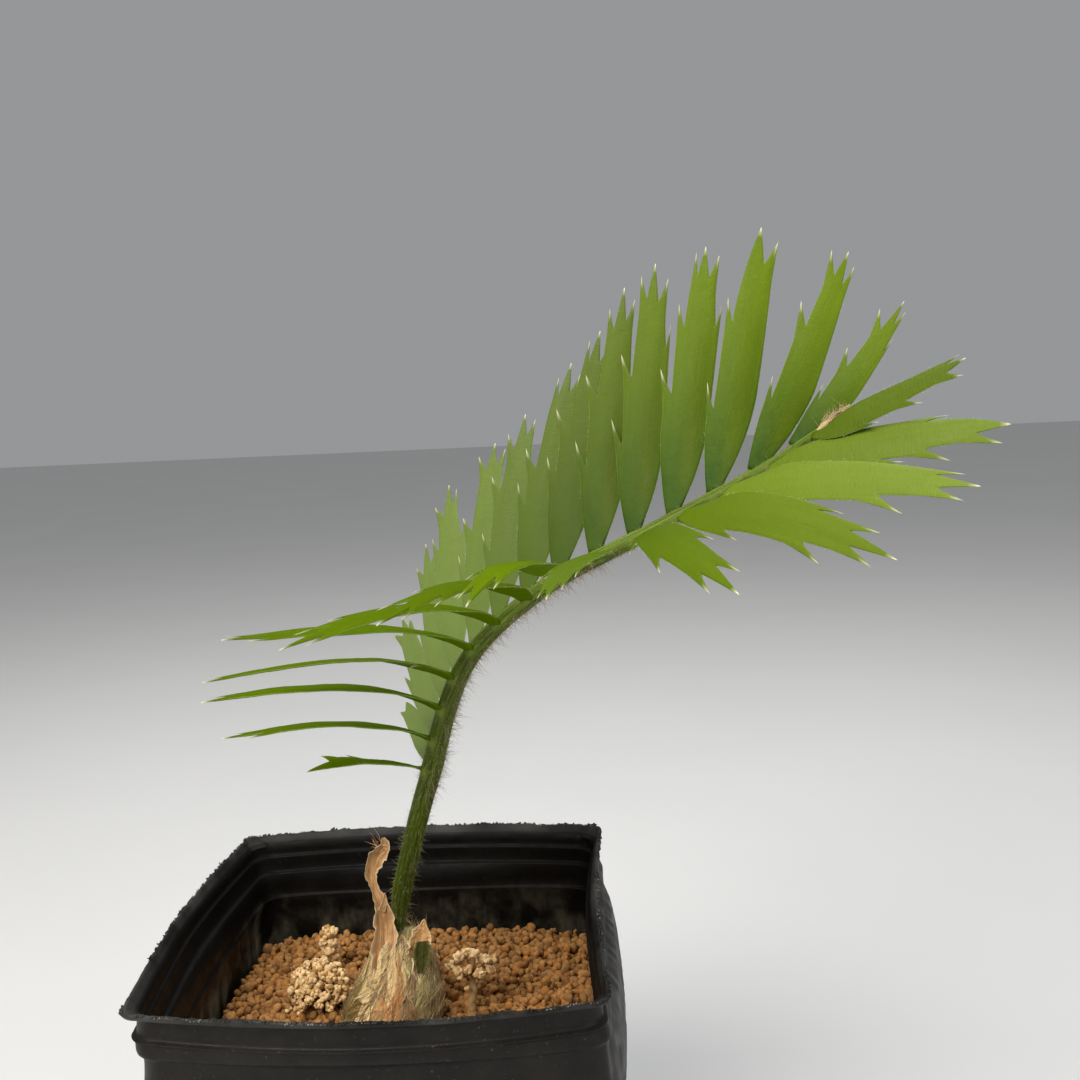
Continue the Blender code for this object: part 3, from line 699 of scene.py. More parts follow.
def pot_material(settings, name="pot_plastic", specular=0.17):
    """Dark soft plastic: dusty mottling, fine grain, a worn rim, painted shade on the inside of the wall, and
    mineral streaks inside over the soil.
    """
    material, graph, shader, place = start_material(name, 0.40, specular)
    base = use_group(graph, "mottle", place, 90.0, rgba(settings.plastic), rgba(settings.plastic, 2.4))
    dust = graph.window(graph.noise(place, 900.0, 6.0, 0.7), 0.62, 0.78, 0.0, 0.5)
    dusty = graph.mix(dust, base["Colour"], rgba(settings.dust, 0.5))
    inner = mask_channels(graph)[0]
    streak = strands(graph, place, (300.0, 300.0, 90.0), 0.4)
    patch = graph.window(graph.noise(place, 110.0, 3.0), 0.42, 0.62)
    side, _, height = graph.add("ShaderNodeSeparateXYZ", {0: place}).outputs
    low = graph.window(height, *STAIN_BAND, 1.0, 0.0)
    stain = graph.product(streak["Mask"], patch, low, inner, graph.window(side, *STAIN_LEFT, 1.0, 0.5))
    # painted shade: on the inside of the wall the colour is darkened towards a fifth of the plastic's
    dark = graph.mix(graph.product(inner, 0.7), dusty, rgba(settings.plastic, 0.2))
    scuffs = graph.window(graph.noise(place, 60.0, 4.0), 0.42, 0.62, 0.0, 0.8)
    worn = graph.product(graph.window(height, *WORN_RIM), scuffs)
    dark = graph.mix(worn, dark, rgba(settings.dust, 0.16))
    graph.feed(shader.inputs["Base Color"], graph.mix(stain, dark, rgba(settings.stain)))
    rough = graph.window(graph.noise(place, 240.0, 4.0), 0.3, 0.7, 0.34, 0.58)
    graph.feed(shader.inputs["Roughness"], graph.maths("ADD", rough, graph.product(dust, 0.4)))
    add_bump(graph, shader, graph.noise(place, 2600.0, 3.0), 0.00012, 0.5)
    return material


def build_pot(settings):
    """Wall carried round the rounded square from the profile, a floor with holes, and crust on the rim.

    The inside is a copy of the plastic with weaker specular reflection, so that it stays dark as in shade.
    Crust is specks near a line along the rim, left out in gaps; the pale ones are dust and painted
    highlights.
    """
    rings, start_inside = pot_rings()
    rows, cols = rings.shape[:2]
    inner = np.zeros((rows, cols, 4))
    inner[start_inside:, :, 0] = 1.0
    quads = grid_quads(rows, cols, True)
    wall = {"points": rings.reshape(-1, 3), "quads": quads, "tris": np.zeros((0, 3), int),
            "mask": inner.reshape(-1, 4)}
    wall["quad_tint"] = (np.arange(len(quads)) // cols >= start_inside + INSIDE_LIP).astype(int)
    plastic = pot_material(settings)
    # painted shade: below the lip the inside takes a copy with weaker specular reflection, to keep it dark
    shaded_inside_copy = pot_material(settings, "pot_plastic_inside_shaded", 0.08)
    make_piece("pot_shell", join([wall] + floor_plates()), [plastic, shaded_inside_copy], ("pot",), 50.0)
    rng = np.random.default_rng(SEED + 5)
    rim = rings[start_inside - 2]
    spots = rng.uniform(0, cols, settings.crust_count)
    low = np.floor(spots).astype(int) % cols
    part = (spots % 1.0)[:, None]
    centres = rim[low] * (1 - part) + rim[(low + 1) % cols] * part
    centres = centres[layered_noise(centres, 9.0, SEED + 6) > -0.45]
    centres = centres + rng.normal(scale=(0.14, 0.14, 0.1), size=centres.shape) + np.array((0, 0, 0.03))
    # pale specks: dust, and painted highlights where the ragged rim catches light; the others keep the dark
    # plastic
    pale = layered_noise(centres, 5.0, SEED + 9) + rng.normal(scale=0.5, size=len(centres)) > 0.35
    fine, coarse = rng.uniform(size=len(centres)), rng.uniform(size=len(centres))
    radii = np.where(pale, 0.05 + 0.12 * fine**2, 0.09 + 0.2 * coarse)
    surface = deal(lumps(centres, radii, 0, rng, 0.6, SEED + 7, 0.55), np.where(pale, 1, 0))
    crust_dust_and_glints = mottled_material("rim_crust_and_glints", 0.9, 0.2, 700.0, rgba(settings.plastic, 3.0), rgba(settings.dust),
                             (4000.0, 3.0, 0.55, 0.0001, 0.6))
    make_piece("rim_crust_and_glints", surface, [plastic, crust_dust_and_glints])


# ---- soil


SOIL_CORNER = 6.5
SOIL_HALF = 40.7  # the granules fill the bowed square of this half width
SOIL_MARGIN = 0.75
CAUDEX_PLACE = (-4.4, 0.2)  # no granules within CAUDEX_CLEAR of it
CAUDEX_CLEAR = 8.6
BED_FOOT = 2.4
BED_TOP = 62.9
BED_STEPS = 24  # rings from the bed's edge to its middle
GRANULE_TINTS = (  # shares of the clay's colour, and of the granules
    ((1.0, 1.0, 1.0), 0.36), ((1.25, 1.22, 1.2), 0.18), ((0.72, 0.68, 0.62), 0.2), ((1.12, 1.0, 0.82), 0.16),
    ((0.9, 0.94, 1.0), 0.1),
)
GRANULE_LAYERS = (  # piece, shift in spacings, height, share kept, wobble, splits of a ball
    ("granules_lower", 0.0, 63.3, 1.0, 0.2, 0),
    ("granules_middle", 0.33, 63.95, 0.74, 0.3, 1),
    ("granules_upper", 0.66, 64.7, 0.48, 0.35, 1),
)


def granule_material(name, colour):
    """Baked clay: one plain tint with fine mottling and a chalky, pitted surface."""
    return mottled_material(name, 0.95, 0.2, 1500.0, rgba(colour, 0.72), rgba(colour, 1.2),
                            (3600.0, 5.0, 0.7, 0.0002, 0.8))


def soil_limit(x, y):
    """How far inside the bowed square a point lies, in millimetres; negative is outside."""
    half, corner = SOIL_HALF, SOIL_CORNER
    x = x - side_shift(SOIL_TOP)
    along_x, along_y = np.clip(x / (half - corner), -1, 1), np.clip(y / (half - corner), -1, 1)
    bow_x = np.where(x > 0, side_bow(SOIL_TOP, 0, along_y), side_bow(SOIL_TOP, 2, along_y))
    bow_y = np.where(y > 0, side_bow(SOIL_TOP, 1, along_x), side_bow(SOIL_TOP, 3, along_x))
    straight = np.minimum(half + bow_x - np.abs(x), half + bow_y - np.abs(y))
    past = np.maximum(np.stack([np.abs(x), np.abs(y)]) - (half - corner), 0)
    in_corner = (past > 0).all(0)
    return np.where(in_corner, np.minimum(straight, corner - np.hypot(past[0], past[1])), straight)


def build_soil(settings):
    """A dark uneven bed, its darkness painted shade for the gaps between the granules, and granules on
    jittered triangular lattices in one full and two partial layers.
    """
    rng = np.random.default_rng(SEED + 10)
    tints = [
        granule_material("granule_%d" % (number + 1), np.array(settings.clay) * np.array(share))
        for number, (share, _) in enumerate(GRANULE_TINTS)
    ]
    side_heights = np.linspace(BED_FOOT, 62.4, 6)
    side_halves = np.minimum(wall_half(side_heights) - WALL, INNER_HALF) - 0.4
    side_halves[0] -= 0.6
    halves = np.concatenate([[0.6], side_halves, side_halves[-1] * (1 - np.linspace(0.01, 0.98, BED_STEPS))])
    heights = np.concatenate([[BED_FOOT], side_heights, np.full(BED_STEPS, BED_TOP)])
    rings = square_rings(halves, heights)
    top = len(side_heights) + 2
    rings[top:, :, 2] += 0.45 * lattice_noise(rings[top:], 2.0, SEED + 11)
    # painted shade: the bed is the clay at under half its brightness, dark as the shaded gaps between
    # granules
    shade = granule_material("granule_shade", np.array(settings.clay) * 0.45)
    make_piece("soil_bed", closed_tube(rings), [shade], ("soil",), 60.0)
    spacing = settings.granule * 1000.0 * 0.92
    steps = int(50 / spacing)
    i, j = np.meshgrid(np.arange(-steps, steps + 1), np.arange(-steps - 8, steps + 9), indexing="ij")
    grid = np.stack([(i + 0.5 * (j % 2)) * spacing, j * spacing * 0.866], axis=-1).reshape(-1, 2)
    for name, shift, height, keep, wobble, splits in GRANULE_LAYERS:
        spots = grid + shift * spacing + rng.normal(scale=0.3 * spacing, size=grid.shape)
        inside = soil_limit(spots[:, 0], spots[:, 1]) > SOIL_MARGIN
        clear = np.hypot(spots[:, 0] - CAUDEX_PLACE[0], spots[:, 1] - CAUDEX_PLACE[1]) > CAUDEX_CLEAR
        spots = spots[inside & clear & (rng.uniform(size=len(spots)) < keep)]
        rise = height + wobble * rng.normal(size=len(spots))
        rise += 0.5 * lattice_noise(np.column_stack([spots, np.zeros(len(spots))]), 14.0, SEED + 12)
        centres = np.column_stack([spots, rise])
        radii = settings.granule * 500.0 * rng.uniform(0.7, 1.3, len(spots))
        surface = lumps(centres, radii, splits, rng, 0.45, SEED + 13, 0.28)
        tint = rng.choice(len(tints), len(spots), p=[part for _, part in GRANULE_TINTS])
        make_piece(name, deal(surface, tint), tints)


# ---- caudex and dry leaf bases


BULB_RINGS = (  # height, radius, centre x and y
    (63.0, 10.6, -4.5, 0.2), (66.0, 10.4, -4.2, 0.2), (69.0, 9.6, -3.6, 0.2), (72.0, 8.6, -2.5, 0.4),
    (76.0, 7.0, -1.9, 0.8), (79.5, 5.7, -1.8, 1.2), (81.5, 4.6, -1.7, 1.8), (82.8, 3.0, -1.5, 2.3),
    (83.4, 1.8, -1.3, 2.4),
)
BULB_AXIS = (-3.0, 0.8, 0.0)
CREAM, GREEN_GREY, RED_BROWN, OLIVE, BROWN = range(5)
SCALE_ZONES = (  # facing from and to (degrees), below height, tints and their shares
    (-180, -122, 71.5, (OLIVE, BROWN, CREAM), (0.70, 0.22, 0.08)),
    (-100, -80, 77.0, (RED_BROWN, CREAM, BROWN), (0.86, 0.06, 0.08)),
    (-76, -10, 69.0, (BROWN, GREEN_GREY, CREAM), (0.65, 0.25, 0.10)),
    (-76, -25, 90.0, (GREEN_GREY, CREAM, BROWN), (0.62, 0.24, 0.14)),
    (-180, -76, 90.0, (CREAM, GREEN_GREY, BROWN), (0.66, 0.20, 0.14)),
    (-180, 181, 90.0, (BROWN, GREEN_GREY, CREAM), (0.38, 0.34, 0.28)),
)
SCALE_COUNT = 172
SCALE_TURN = 137.508  # degrees from one scale to the next
SCALE_LEVELS = (63.2, 66.0, 69.5, 73.5)
SCALE_SHARES = (0.42, 0.22, 0.2, 0.16)
SCALE_TOP = 82.8
FIBRE_COUNT = 1900
FIBRE_LEVEL = (63.5, 17.5)  # lowest, and how much higher the highest
SHEATH = (  # path, widths and tint of the sheaths that hold the petiole's foot
    (((-4.6, -4.2, 76.0), (-3.6, -2.6, 79.8), (-3.1, -0.9, 82.6), (-2.9, -0.5, 84.4)),
     (3.6, 3.6, 2.2, 0.4), CREAM),
    (((0.0, -5.0, 75.0), (-0.2, -3.6, 79.2), (-0.8, -1.6, 82.0), (-1.2, -0.9, 83.6)),
     (3.4, 3.6, 2.4, 0.4), CREAM),
    (((1.8, -4.6, 76.0), (1.6, -3.2, 79.8), (1.0, -0.9, 82.9), (0.8, -0.1, 84.8)),
     (3.0, 3.4, 2.2, 0.4), GREEN_GREY),
    (((-1.4, 6.2, 77.0), (-1.4, 5.4, 81.0), (-1.8, 4.6, 84.2), (-2.0, 4.4, 86.4)),
     (5.0, 5.0, 3.2, 0.5), BROWN),
)


def scale_tint(facing, height, rng):
    """Tint dealt to a scale by the first zone that holds its facing and height."""
    facing = (facing + 180.0) % 360.0 - 180.0
    for low, high, below, tints, shares in SCALE_ZONES:
        if low <= facing < high and height < below:
            return rng.choice(tints, p=shares)
    return CREAM


def bulb_point(angle, height, lift):
    """Point on the bulb: the ring's centre and radius there, with five soft lobes, pushed out by lift."""
    table = np.array(BULB_RINGS)
    rows = hermite(table[:, 0], table[:, 1:], np.ravel(height)).reshape(np.shape(height) + (3,))
    radius = rows[..., 0] * (1 + 0.03 * np.sin(5 * angle + 0.5 * height)) + lift
    x, y = rows[..., 1] + radius * np.cos(angle), rows[..., 2] + radius * np.sin(angle)
    return np.stack([x, y, height], axis=-1)


def papery_material(name, low, high, edge, stripes=1.0, patches=0.0):
    """Dry leaf tissue: fibres along the grain between two tones, paler at thin edges, darker blotches.

    Stripes is how far the fibres' tones reach, patches how strong the large dark patches are.
    """
    material, graph, shader, place = start_material(name, 0.82, 0.25, 0.1)
    grain = read_attribute(graph, "grain").outputs["Vector"]
    fibre = strands(graph, grain, (2.6, 0.16, 1.0), 0.8)
    fine = strands(graph, grain, (7.0, 0.5, 3.0), 0.6)
    low, high = np.array(low), np.array(high)
    middle = (low + high) / 2
    dark, light = (rgba(middle + (tone - middle) * stripes) for tone in (low, high))
    colour = graph.mix(fibre["Mask"], dark, light)
    colour = graph.mix(graph.product(fine["Mask"], 0.45 * stripes), colour, rgba(high, 1.25))
    patch = graph.window(graph.noise(place, 170.0, 5.0, 0.6), 0.45, 0.6, 0.0, patches)
    colour = graph.mix(patch, colour, rgba(low, 0.85))
    blotch = graph.window(graph.noise(place, 420.0, 4.0, 0.6), 0.55, 0.72, 0.0, 0.6)
    colour = graph.mix(blotch, colour, rgba(low, 0.55))
    graph.feed(shader.inputs["Base Color"], graph.mix(mask_channels(graph)[0], colour, rgba(edge)))
    height = graph.maths("ADD", fibre["Height"], graph.product(fine["Height"], 0.6))
    add_bump(graph, shader, height, 0.0004, 0.8)
    return material


def caudex_bulb():
    """Stacked rings whose fibrous grooves run up the bulb."""
    rows, cols = 60, 120
    levels = np.linspace(BULB_RINGS[0][0], BULB_RINGS[-1][0], rows)
    height, angle = np.meshgrid(levels, turns(cols), indexing="ij")
    fibres = np.stack([np.cos(angle) * 9, np.sin(angle) * 9, height * 0.12], axis=-1)
    lift = 0.3 * lattice_noise(fibres, 0.8, SEED + 20) + 0.15 * lattice_noise(fibres, 0.35, SEED + 21)
    grain = fibres * np.array((1.0, 1.0, 0.0)) + height[..., None] * np.array((0, 1.0, 0))
    return closed_tube(bulb_point(angle, height, lift), grain, np.zeros((rows, cols, 4)))


def caudex_fibres(rng, tint_count):
    """Fine threads over the scales, leaning with their facing; about one in seven is always cream."""
    count = FIBRE_COUNT
    turn = rng.uniform(0, 2 * np.pi, count)
    level = FIBRE_LEVEL[0] + FIBRE_LEVEL[1] * rng.uniform(size=count) ** 1.2
    shade = np.array([
        CREAM if rng.uniform() < 0.15 else scale_tint(math.degrees(facing), height, rng)
        for facing, height in zip(turn, level)
    ])
    roots = bulb_point(turn, level, rng.uniform(0.3, 0.8, count))
    slant = 0.17 * np.cos(turn + 2.2) * (shade != RED_BROWN)
    ahead = bulb_point(turn + slant + rng.normal(scale=0.10, size=count), level + 1.5, 0.75)
    out = unit((roots - np.array(BULB_AXIS)) * np.array((1, 1, 0)))
    ways = unit(unit(ahead - roots) + out * rng.normal(scale=0.07, size=(count, 1)))
    bend = rng.normal(scale=0.07, size=(count, 3)) - out * 0.04
    lengths, thick = rng.uniform(2.5, 7.0, count), rng.uniform(0.03, 0.07, count)
    parts = []
    for tint in range(tint_count):
        chosen = shade == tint
        parts.append(threads(roots[chosen], ways[chosen], lengths[chosen], bend[chosen], thick[chosen]))
        parts[-1]["tint"] = tint
    return parts


def build_caudex(settings):
    """Bulb of stacked rings with fibrous grooves, under overlapping narrow scales and fine fibres."""
    tints = [
        papery_material("scale_" + name, low, high, edge) for name, low, high, edge in (
            ("cream", (0.64, 0.40, 0.16), settings.cream, (0.98, 0.84, 0.54)),
            ("green_grey", (0.19, 0.16, 0.05), (0.50, 0.42, 0.18), (0.74, 0.64, 0.36)),
            ("red_brown", (0.32, 0.13, 0.035), (0.66, 0.33, 0.12), (0.78, 0.48, 0.24)),
            ("olive", (0.10, 0.05, 0.010), (0.23, 0.145, 0.028), (0.42, 0.36, 0.08)),
            ("brown", (0.16, 0.08, 0.03), (0.38, 0.235, 0.11), (0.62, 0.44, 0.23)),
        )
    ]
    make_piece("caudex_bulb", caudex_bulb(), [tints[GREEN_GREY]], ("caudex",))
    rng = np.random.default_rng(SEED + 22)
    surfaces = []
    for number in range(SCALE_COUNT):
        facing = number * SCALE_TURN + rng.normal(scale=6.0)
        foot = rng.choice(SCALE_LEVELS, p=SCALE_SHARES) + rng.uniform(0, 2.0)
        tip = min(foot + rng.uniform(7.0, 16.0), SCALE_TOP + rng.uniform(-1.5, 0.5))
        stand = 0.1 + 0.55 * rng.uniform() ** 2
        spread = rng.uniform(5.5, 15.0)
        surfaces.append(scale_surface(number, facing, spread, foot, tip, stand, rng.normal(scale=7.0)))
        surfaces[-1]["tint"] = scale_tint(facing, (foot + tip) / 2, rng)
    surfaces += caudex_fibres(rng, len(tints))
    for number, (path, widths, tint) in enumerate(SHEATH):
        seed = SEED + 60 + 3 * number
        surfaces.append(ribbon(path, widths, (0.1, -1.0, 0.2), 0.7, 0.25, 40, 14, 0.25, seed))
        surfaces[-1]["tint"] = tint
    make_piece("caudex_scales", join(surfaces), tints)


def scale_surface(number, facing, spread, foot, tip, stand, slant):
    """One scale: across runs -1 to 1 over its spread, which closes to a ragged point; up runs foot to tip.

    It lies just off the bulb, lifts by stand times up squared, and its edges curl out by a cube of across.
    The section is closed by the same sheet a little further in.
    """
    rows, cols = 21, 9
    up, across = np.meshgrid(np.linspace(0, 1, rows), np.linspace(-1, 1, cols), indexing="ij")
    seat = np.stack([across * 3 + number * 7.0, up * 1.0, np.zeros_like(up)], axis=-1)
    ragged = lattice_noise(seat, 0.35, SEED + 30) * up
    close = (1 - 0.9 * up**3) + 0.18 * lattice_noise(seat * np.array((0.3, 5.0, 1.0)), 0.5, SEED + 50)
    angle = np.radians(facing + across * spread * np.clip(close, 0.05, 2.0) + slant * up)
    height = foot + (tip - foot) * (up + 0.06 * ragged)
    fibre = np.stack([across * spread * 0.16 + number * 5.0, up * 1.2, np.full_like(up, 3.0)], axis=-1)
    ridge = 0.12 * lattice_noise(fibre, 0.5, SEED + 70) + 0.05 * lattice_noise(fibre, 0.2, SEED + 71)
    lift = 0.12 + 0.0022 * number + stand * up**2 + 0.12 * np.abs(across) ** 3 * up + ridge
    outer = bulb_point(angle, height, lift)
    thickness = 0.15 * (1 - across**8) * (1 - up**8) + 0.03
    inner = bulb_point(angle, height, lift - thickness)
    wide = across * np.radians(spread) * 8.0
    grain = np.stack([wide + number * 11, height, np.zeros_like(up)], axis=-1)
    edge = smooth((np.abs(across) - 0.7) / 0.3) * 0.35 + smooth((up - 0.85) / 0.15) * 0.4
    return closed_sheet(outer, inner, grain, np.clip(edge, 0, 1))


def carried(path, sizes, rows, facing):
    """A smooth path in rows: its points, its directions across and off, and the section's size at each."""
    stations, place = np.linspace(0, 1, len(path)), np.linspace(0, 1, rows)
    centre = hermite(stations, np.array(path, float), place)
    along = unit(np.gradient(centre, axis=0))
    side = unit(np.cross(along, np.array(facing)))
    return centre, side, np.cross(side, along), np.interp(place, stations, sizes)


def ribbon(path, widths, facing, cup, thickness, rows, cols, raggedness, seed):
    """A thin strip along a smooth path: its section is an arc of cup depth, its edges ragged by noise.

    Each row is the path's point + side*width*across + front*(cup*width*across^2 + wrinkles).
    """
    centre, side, front, width = carried(path, widths, rows, facing)
    half = width[:, None] / 2
    up, across = np.meshgrid(np.linspace(0, 1, rows), np.linspace(-1, 1, cols), indexing="ij")
    grid = np.stack([across * 2.0, up * 8.0, np.full_like(up, seed)], axis=-1)
    edge_noise = lattice_noise(grid * np.array((0.4, 3.0, 1.0)), 0.7, seed) * raggedness
    width = half * (1 + edge_noise * np.abs(across))
    wrinkle = 0.16 * lattice_noise(grid, 0.8, seed + 1)
    wrinkle = wrinkle + 0.08 * lattice_noise(grid * np.array((2.0, 1.0, 1.0)), 0.4, seed + 2)
    depth = cup * half * across**2 + wrinkle * np.clip(half, 0.3, 2.0)
    middle = centre[:, None] + side[:, None] * (width * across)[..., None]
    outer = middle + front[:, None] * (depth + thickness / 2)[..., None]
    inner = middle + front[:, None] * (depth - thickness / 2)[..., None]
    length = np.linalg.norm(np.diff(centre, axis=0), axis=1).sum()
    grain = np.stack([width * across, up * length, np.full_like(up, seed * 1.7)], axis=-1)
    return closed_sheet(outer, inner, grain, 0.8 * smooth((np.abs(across) - 0.66) / 0.34))


TALL_PATH = (
    (-4.7, -3.2, 77.5), (-4.9, -2.2, 81.0), (-4.7, -0.9, 86.0), (-5.2, -0.2, 90.0), (-6.7, 0.7, 94.0),
    (-7.3, 1.3, 97.0), (-5.9, 1.9, 100.4), (-4.2, 2.1, 102.6), (-4.4, 2.3, 104.4),
)
TALL_WIDTHS = (6.2, 5.6, 4.8, 3.0, 1.7, 2.6, 3.9, 2.8, 0.8)
SPUR_PATH = ((-5.2, -0.8, 89.0), (-4.4, -0.6, 91.2), (-4.3, -0.5, 93.0))
FLAG_PATH = ((-5.4, 2.0, 101.2), (-4.2, 1.8, 102.3), (-3.0, 1.7, 101.7))
TORN_AT = (-5.6, 2.0, 102.4)
TORN_COUNT = 16
STUB_PATH = ((2.6, -4.0, 80.2), (3.0, -3.8, 82.7), (3.6, -3.5, 85.2), (4.0, -3.2, 86.5), (4.3, -3.1, 87.8))
FLESH_PATH = ((3.0, -5.2, 76.8), (3.4, -5.0, 79.2), (3.6, -4.6, 81.4), (3.6, -4.2, 83.4))


def build_dry_bases():
    """The tall withered leaf base with its spur and torn threads, and the short one beside the petiole."""
    tan, orange, green = (papery_material(*tones) for tones in (
        ("dry_tan", (0.40, 0.19, 0.065), (0.72, 0.45, 0.21), (0.86, 0.64, 0.38), 0.9, 0.8),
        ("dry_orange", (0.46, 0.20, 0.06), (0.88, 0.52, 0.22), (0.94, 0.68, 0.38), 0.7),
        ("cut_green", (0.030, 0.034, 0.003), (0.085, 0.085, 0.008), (0.22, 0.20, 0.05)),
    ))
    facing = (0.2, -1.0, 0.1)
    strip = ribbon(TALL_PATH, TALL_WIDTHS, facing, 0.75, 0.3, 130, 24, 0.2, SEED + 80)
    spur = ribbon(SPUR_PATH, (1.8, 1.2, 0.15), facing, 0.3, 0.25, 16, 8, 0.1, SEED + 84)
    flag = ribbon(FLAG_PATH, (1.6, 1.5, 0.3), facing, 0.2, 0.25, 16, 8, 0.3, SEED + 88)
    rng = np.random.default_rng(SEED + 90)
    each = (TORN_COUNT, 3)
    roots = np.array(TORN_AT) + rng.normal(scale=0.7, size=each)
    ways = unit(rng.normal(size=each) + np.array((-0.6, -0.3, 0.9)))
    torn = threads(roots, ways, rng.uniform(1.2, 3.2, TORN_COUNT), rng.normal(scale=0.3, size=each), 0.07)
    make_piece("dry_base_tall", join([strip, spur, flag, torn]), [tan], ("dry_leaf_base",))
    facing = (0.35, -1.0, 0.2)
    stub = ribbon(STUB_PATH, (5.0, 5.0, 4.0, 1.8, 0.4), facing, 0.4, 0.4, 40, 18, 0.2, SEED + 95)
    flesh = ribbon(FLESH_PATH, (1.4, 3.0, 3.6, 3.0), facing, 0.35, 0.6, 24, 12, 0.25, SEED + 97)
    flesh["tint"] = 1
    make_piece("dry_base_stub", join([stub, flesh]), [orange, green], ("leaf_base_stub",))


# ---- coral-like roots


GOLDEN_ANGLE = 2.39996
# The darker tints are partly the roots' own tone and partly painted shade; on the hearts and the core they
# are painted shade in the gaps
CORAL_TINTS = ((1, 1, 1), (0.78, 0.72, 0.62), (0.5, 0.40, 0.28), (0.2, 0.14, 0.08))  # shares of its colour
LARGE_AT = (-21.3, 5.0, 68.2)
LARGE_SIZE = (7.4, 6.3, 7.3)
LARGE_CLUMPS = 66
LARGE_CORE = ((-21.3, 5, 62.5), (-21.3, 5, 66), (-21.3, 5, 70), (-21.3, 5, 73.2))
LARGE_PROPS = ((-20.6, 0.2, 62.6), (-17.6, 2.4, 62.6), (-25.4, 2.6, 62.6))
FINGER_STEM = ((-22, 20, 63), (-22, 20, 67), (-22, 20, 71), (-22, 20, 75.5))
OPEN_FORK = (13.6, 1.6, 72.4)
OPEN_ENDS = (
    (11.0, 0.2, 77.6), (14.4, 0.0, 78.0), (16.6, 1.0, 76.2), (9.0, 0.8, 75.4), (10.9, -0.8, 74.6),
    (13.0, -1.2, 75.2), (15.6, -0.8, 74.2), (17.8, 1.6, 73.6), (12.4, 3.2, 77.0), (16.0, 4.2, 75.6),
    (10.6, 4.4, 75.0), (13.6, 5.4, 74.2), (11.4, 1.6, 73.2), (18.2, 3.4, 75.0),
)
STALK_PATH = ((12.9, 1.2, 62.5), (13.2, 1.3, 66), (13.7, 1.5, 69.5), (13.6, 1.6, 72.8))


def coral_material(name, colour):
    """Knobbly root tissue: chalky cream mottled with brown; its darker copies on the hearts and the core are
    painted shade in the hollows.
    """
    return mottled_material(name, 0.85, 0.3, 900.0, rgba(colour, 0.62), rgba(colour, 1.06),
                            (3000.0, 4.0, 0.65, 0.00018, 0.7))


def tube_surface(path, radii, sides, rows, seed, tint=0):
    """A round section carried along a smooth path, its radius roughened by noise."""
    centre, side, front, radius = carried(path, radii, rows, (0.2, 1.0, 0.1))
    angle = turns(sides)[:, None]
    ring = side[:, None] * np.cos(angle) - front[:, None] * np.sin(angle)
    rough = 1 + 0.18 * lattice_noise(centre[:, None] + ring, 0.8, seed)
    points = centre[:, None] + ring * (radius[:, None] * rough)[..., None]
    return {**closed_tube(points), "tint": tint}


def golden_ball(count, reach, start=0.0):
    """Even directions from the top of a ball down to 1 - reach, each turned on by the golden angle."""
    turn = np.arange(count) * GOLDEN_ANGLE + start
    z = 1 - (np.arange(count) + 0.5) * reach / count + 0 * turn
    flat = np.sqrt(np.clip(1 - z**2, 0, 1))
    return np.stack([flat * np.cos(turn), flat * np.sin(turn), z], axis=-1)


def coral_nodules(centres, radii, weights, rng):
    """Small knobbly balls, each dealt one of the coral tints by the weights."""
    surface = lumps(centres, radii, 1, rng, 0.6, SEED + 101, 0.4)
    return deal(surface, rng.choice(len(CORAL_TINTS), len(centres), p=weights))


def coral_clumps(centres, size, count, radii, weights, heart_shade_tint, rng):
    """Each clump: a heart ball in a darker tint, painted shade that shows through the gaps, and small nodules
    spread over it by the golden angle.
    """
    ball = golden_ball(count, 2, rng.uniform(0, 6.28, (len(centres), 1)))
    spread = size * rng.uniform(0.8, 1.2, (len(centres), 1)) * rng.uniform(0.8, 1.15, ball.shape[:2])
    spots = (centres[:, None] + ball * spread[..., None]).reshape(-1, 3)
    nodules = coral_nodules(spots, rng.uniform(*radii, len(spots)), weights, rng)
    hearts = lumps(centres, np.full(len(centres), size * 0.92), 1, rng, 0.4, SEED + 108, 0.2)
    return [nodules, {**hearts, "tint": heart_shade_tint}]


def coral_large(rng):
    """Clumps over the upper part of an ellipsoid, a core and props under it, and a bare curl at its side."""
    centre = np.array(LARGE_AT)
    ball = golden_ball(LARGE_CLUMPS, 1.2)
    depth = 0.82 + 0.12 * layered_noise(ball * 6, 2.6, SEED + 102)
    spots = centre + ball * np.array(LARGE_SIZE) * depth[:, None]
    bend = np.arange(7) * 0.9
    curl = 1.35 * np.stack([np.cos(bend), 0.4 * np.ones(7), np.sin(bend)], axis=1)
    curl = centre + np.array((-5.6, -4.2, -3.4)) + curl
    props = []
    for foot in np.array(LARGE_PROPS):
        path = (foot, foot * 0.5 + centre * 0.5 - (0, 0, 0.6), centre)
        props.append(tube_surface(path, (0.95, 0.7, 0.6), 10, 14, SEED + 107, 2))
    return join([
        *coral_clumps(spots, 0.78, 13, (0.30, 0.66), (0.58, 0.28, 0.10, 0.04), 2, rng),
        coral_nodules(curl, rng.uniform(0.45, 0.65, 7), (0.6, 0.4, 0.0, 0.0), rng),
        # the core in the darkest tint: painted shade inside the cluster
        tube_surface(LARGE_CORE, (1.6, 3.2, 4.6, 1.2), 24, 20, SEED + 103, 3), *props,
    ])


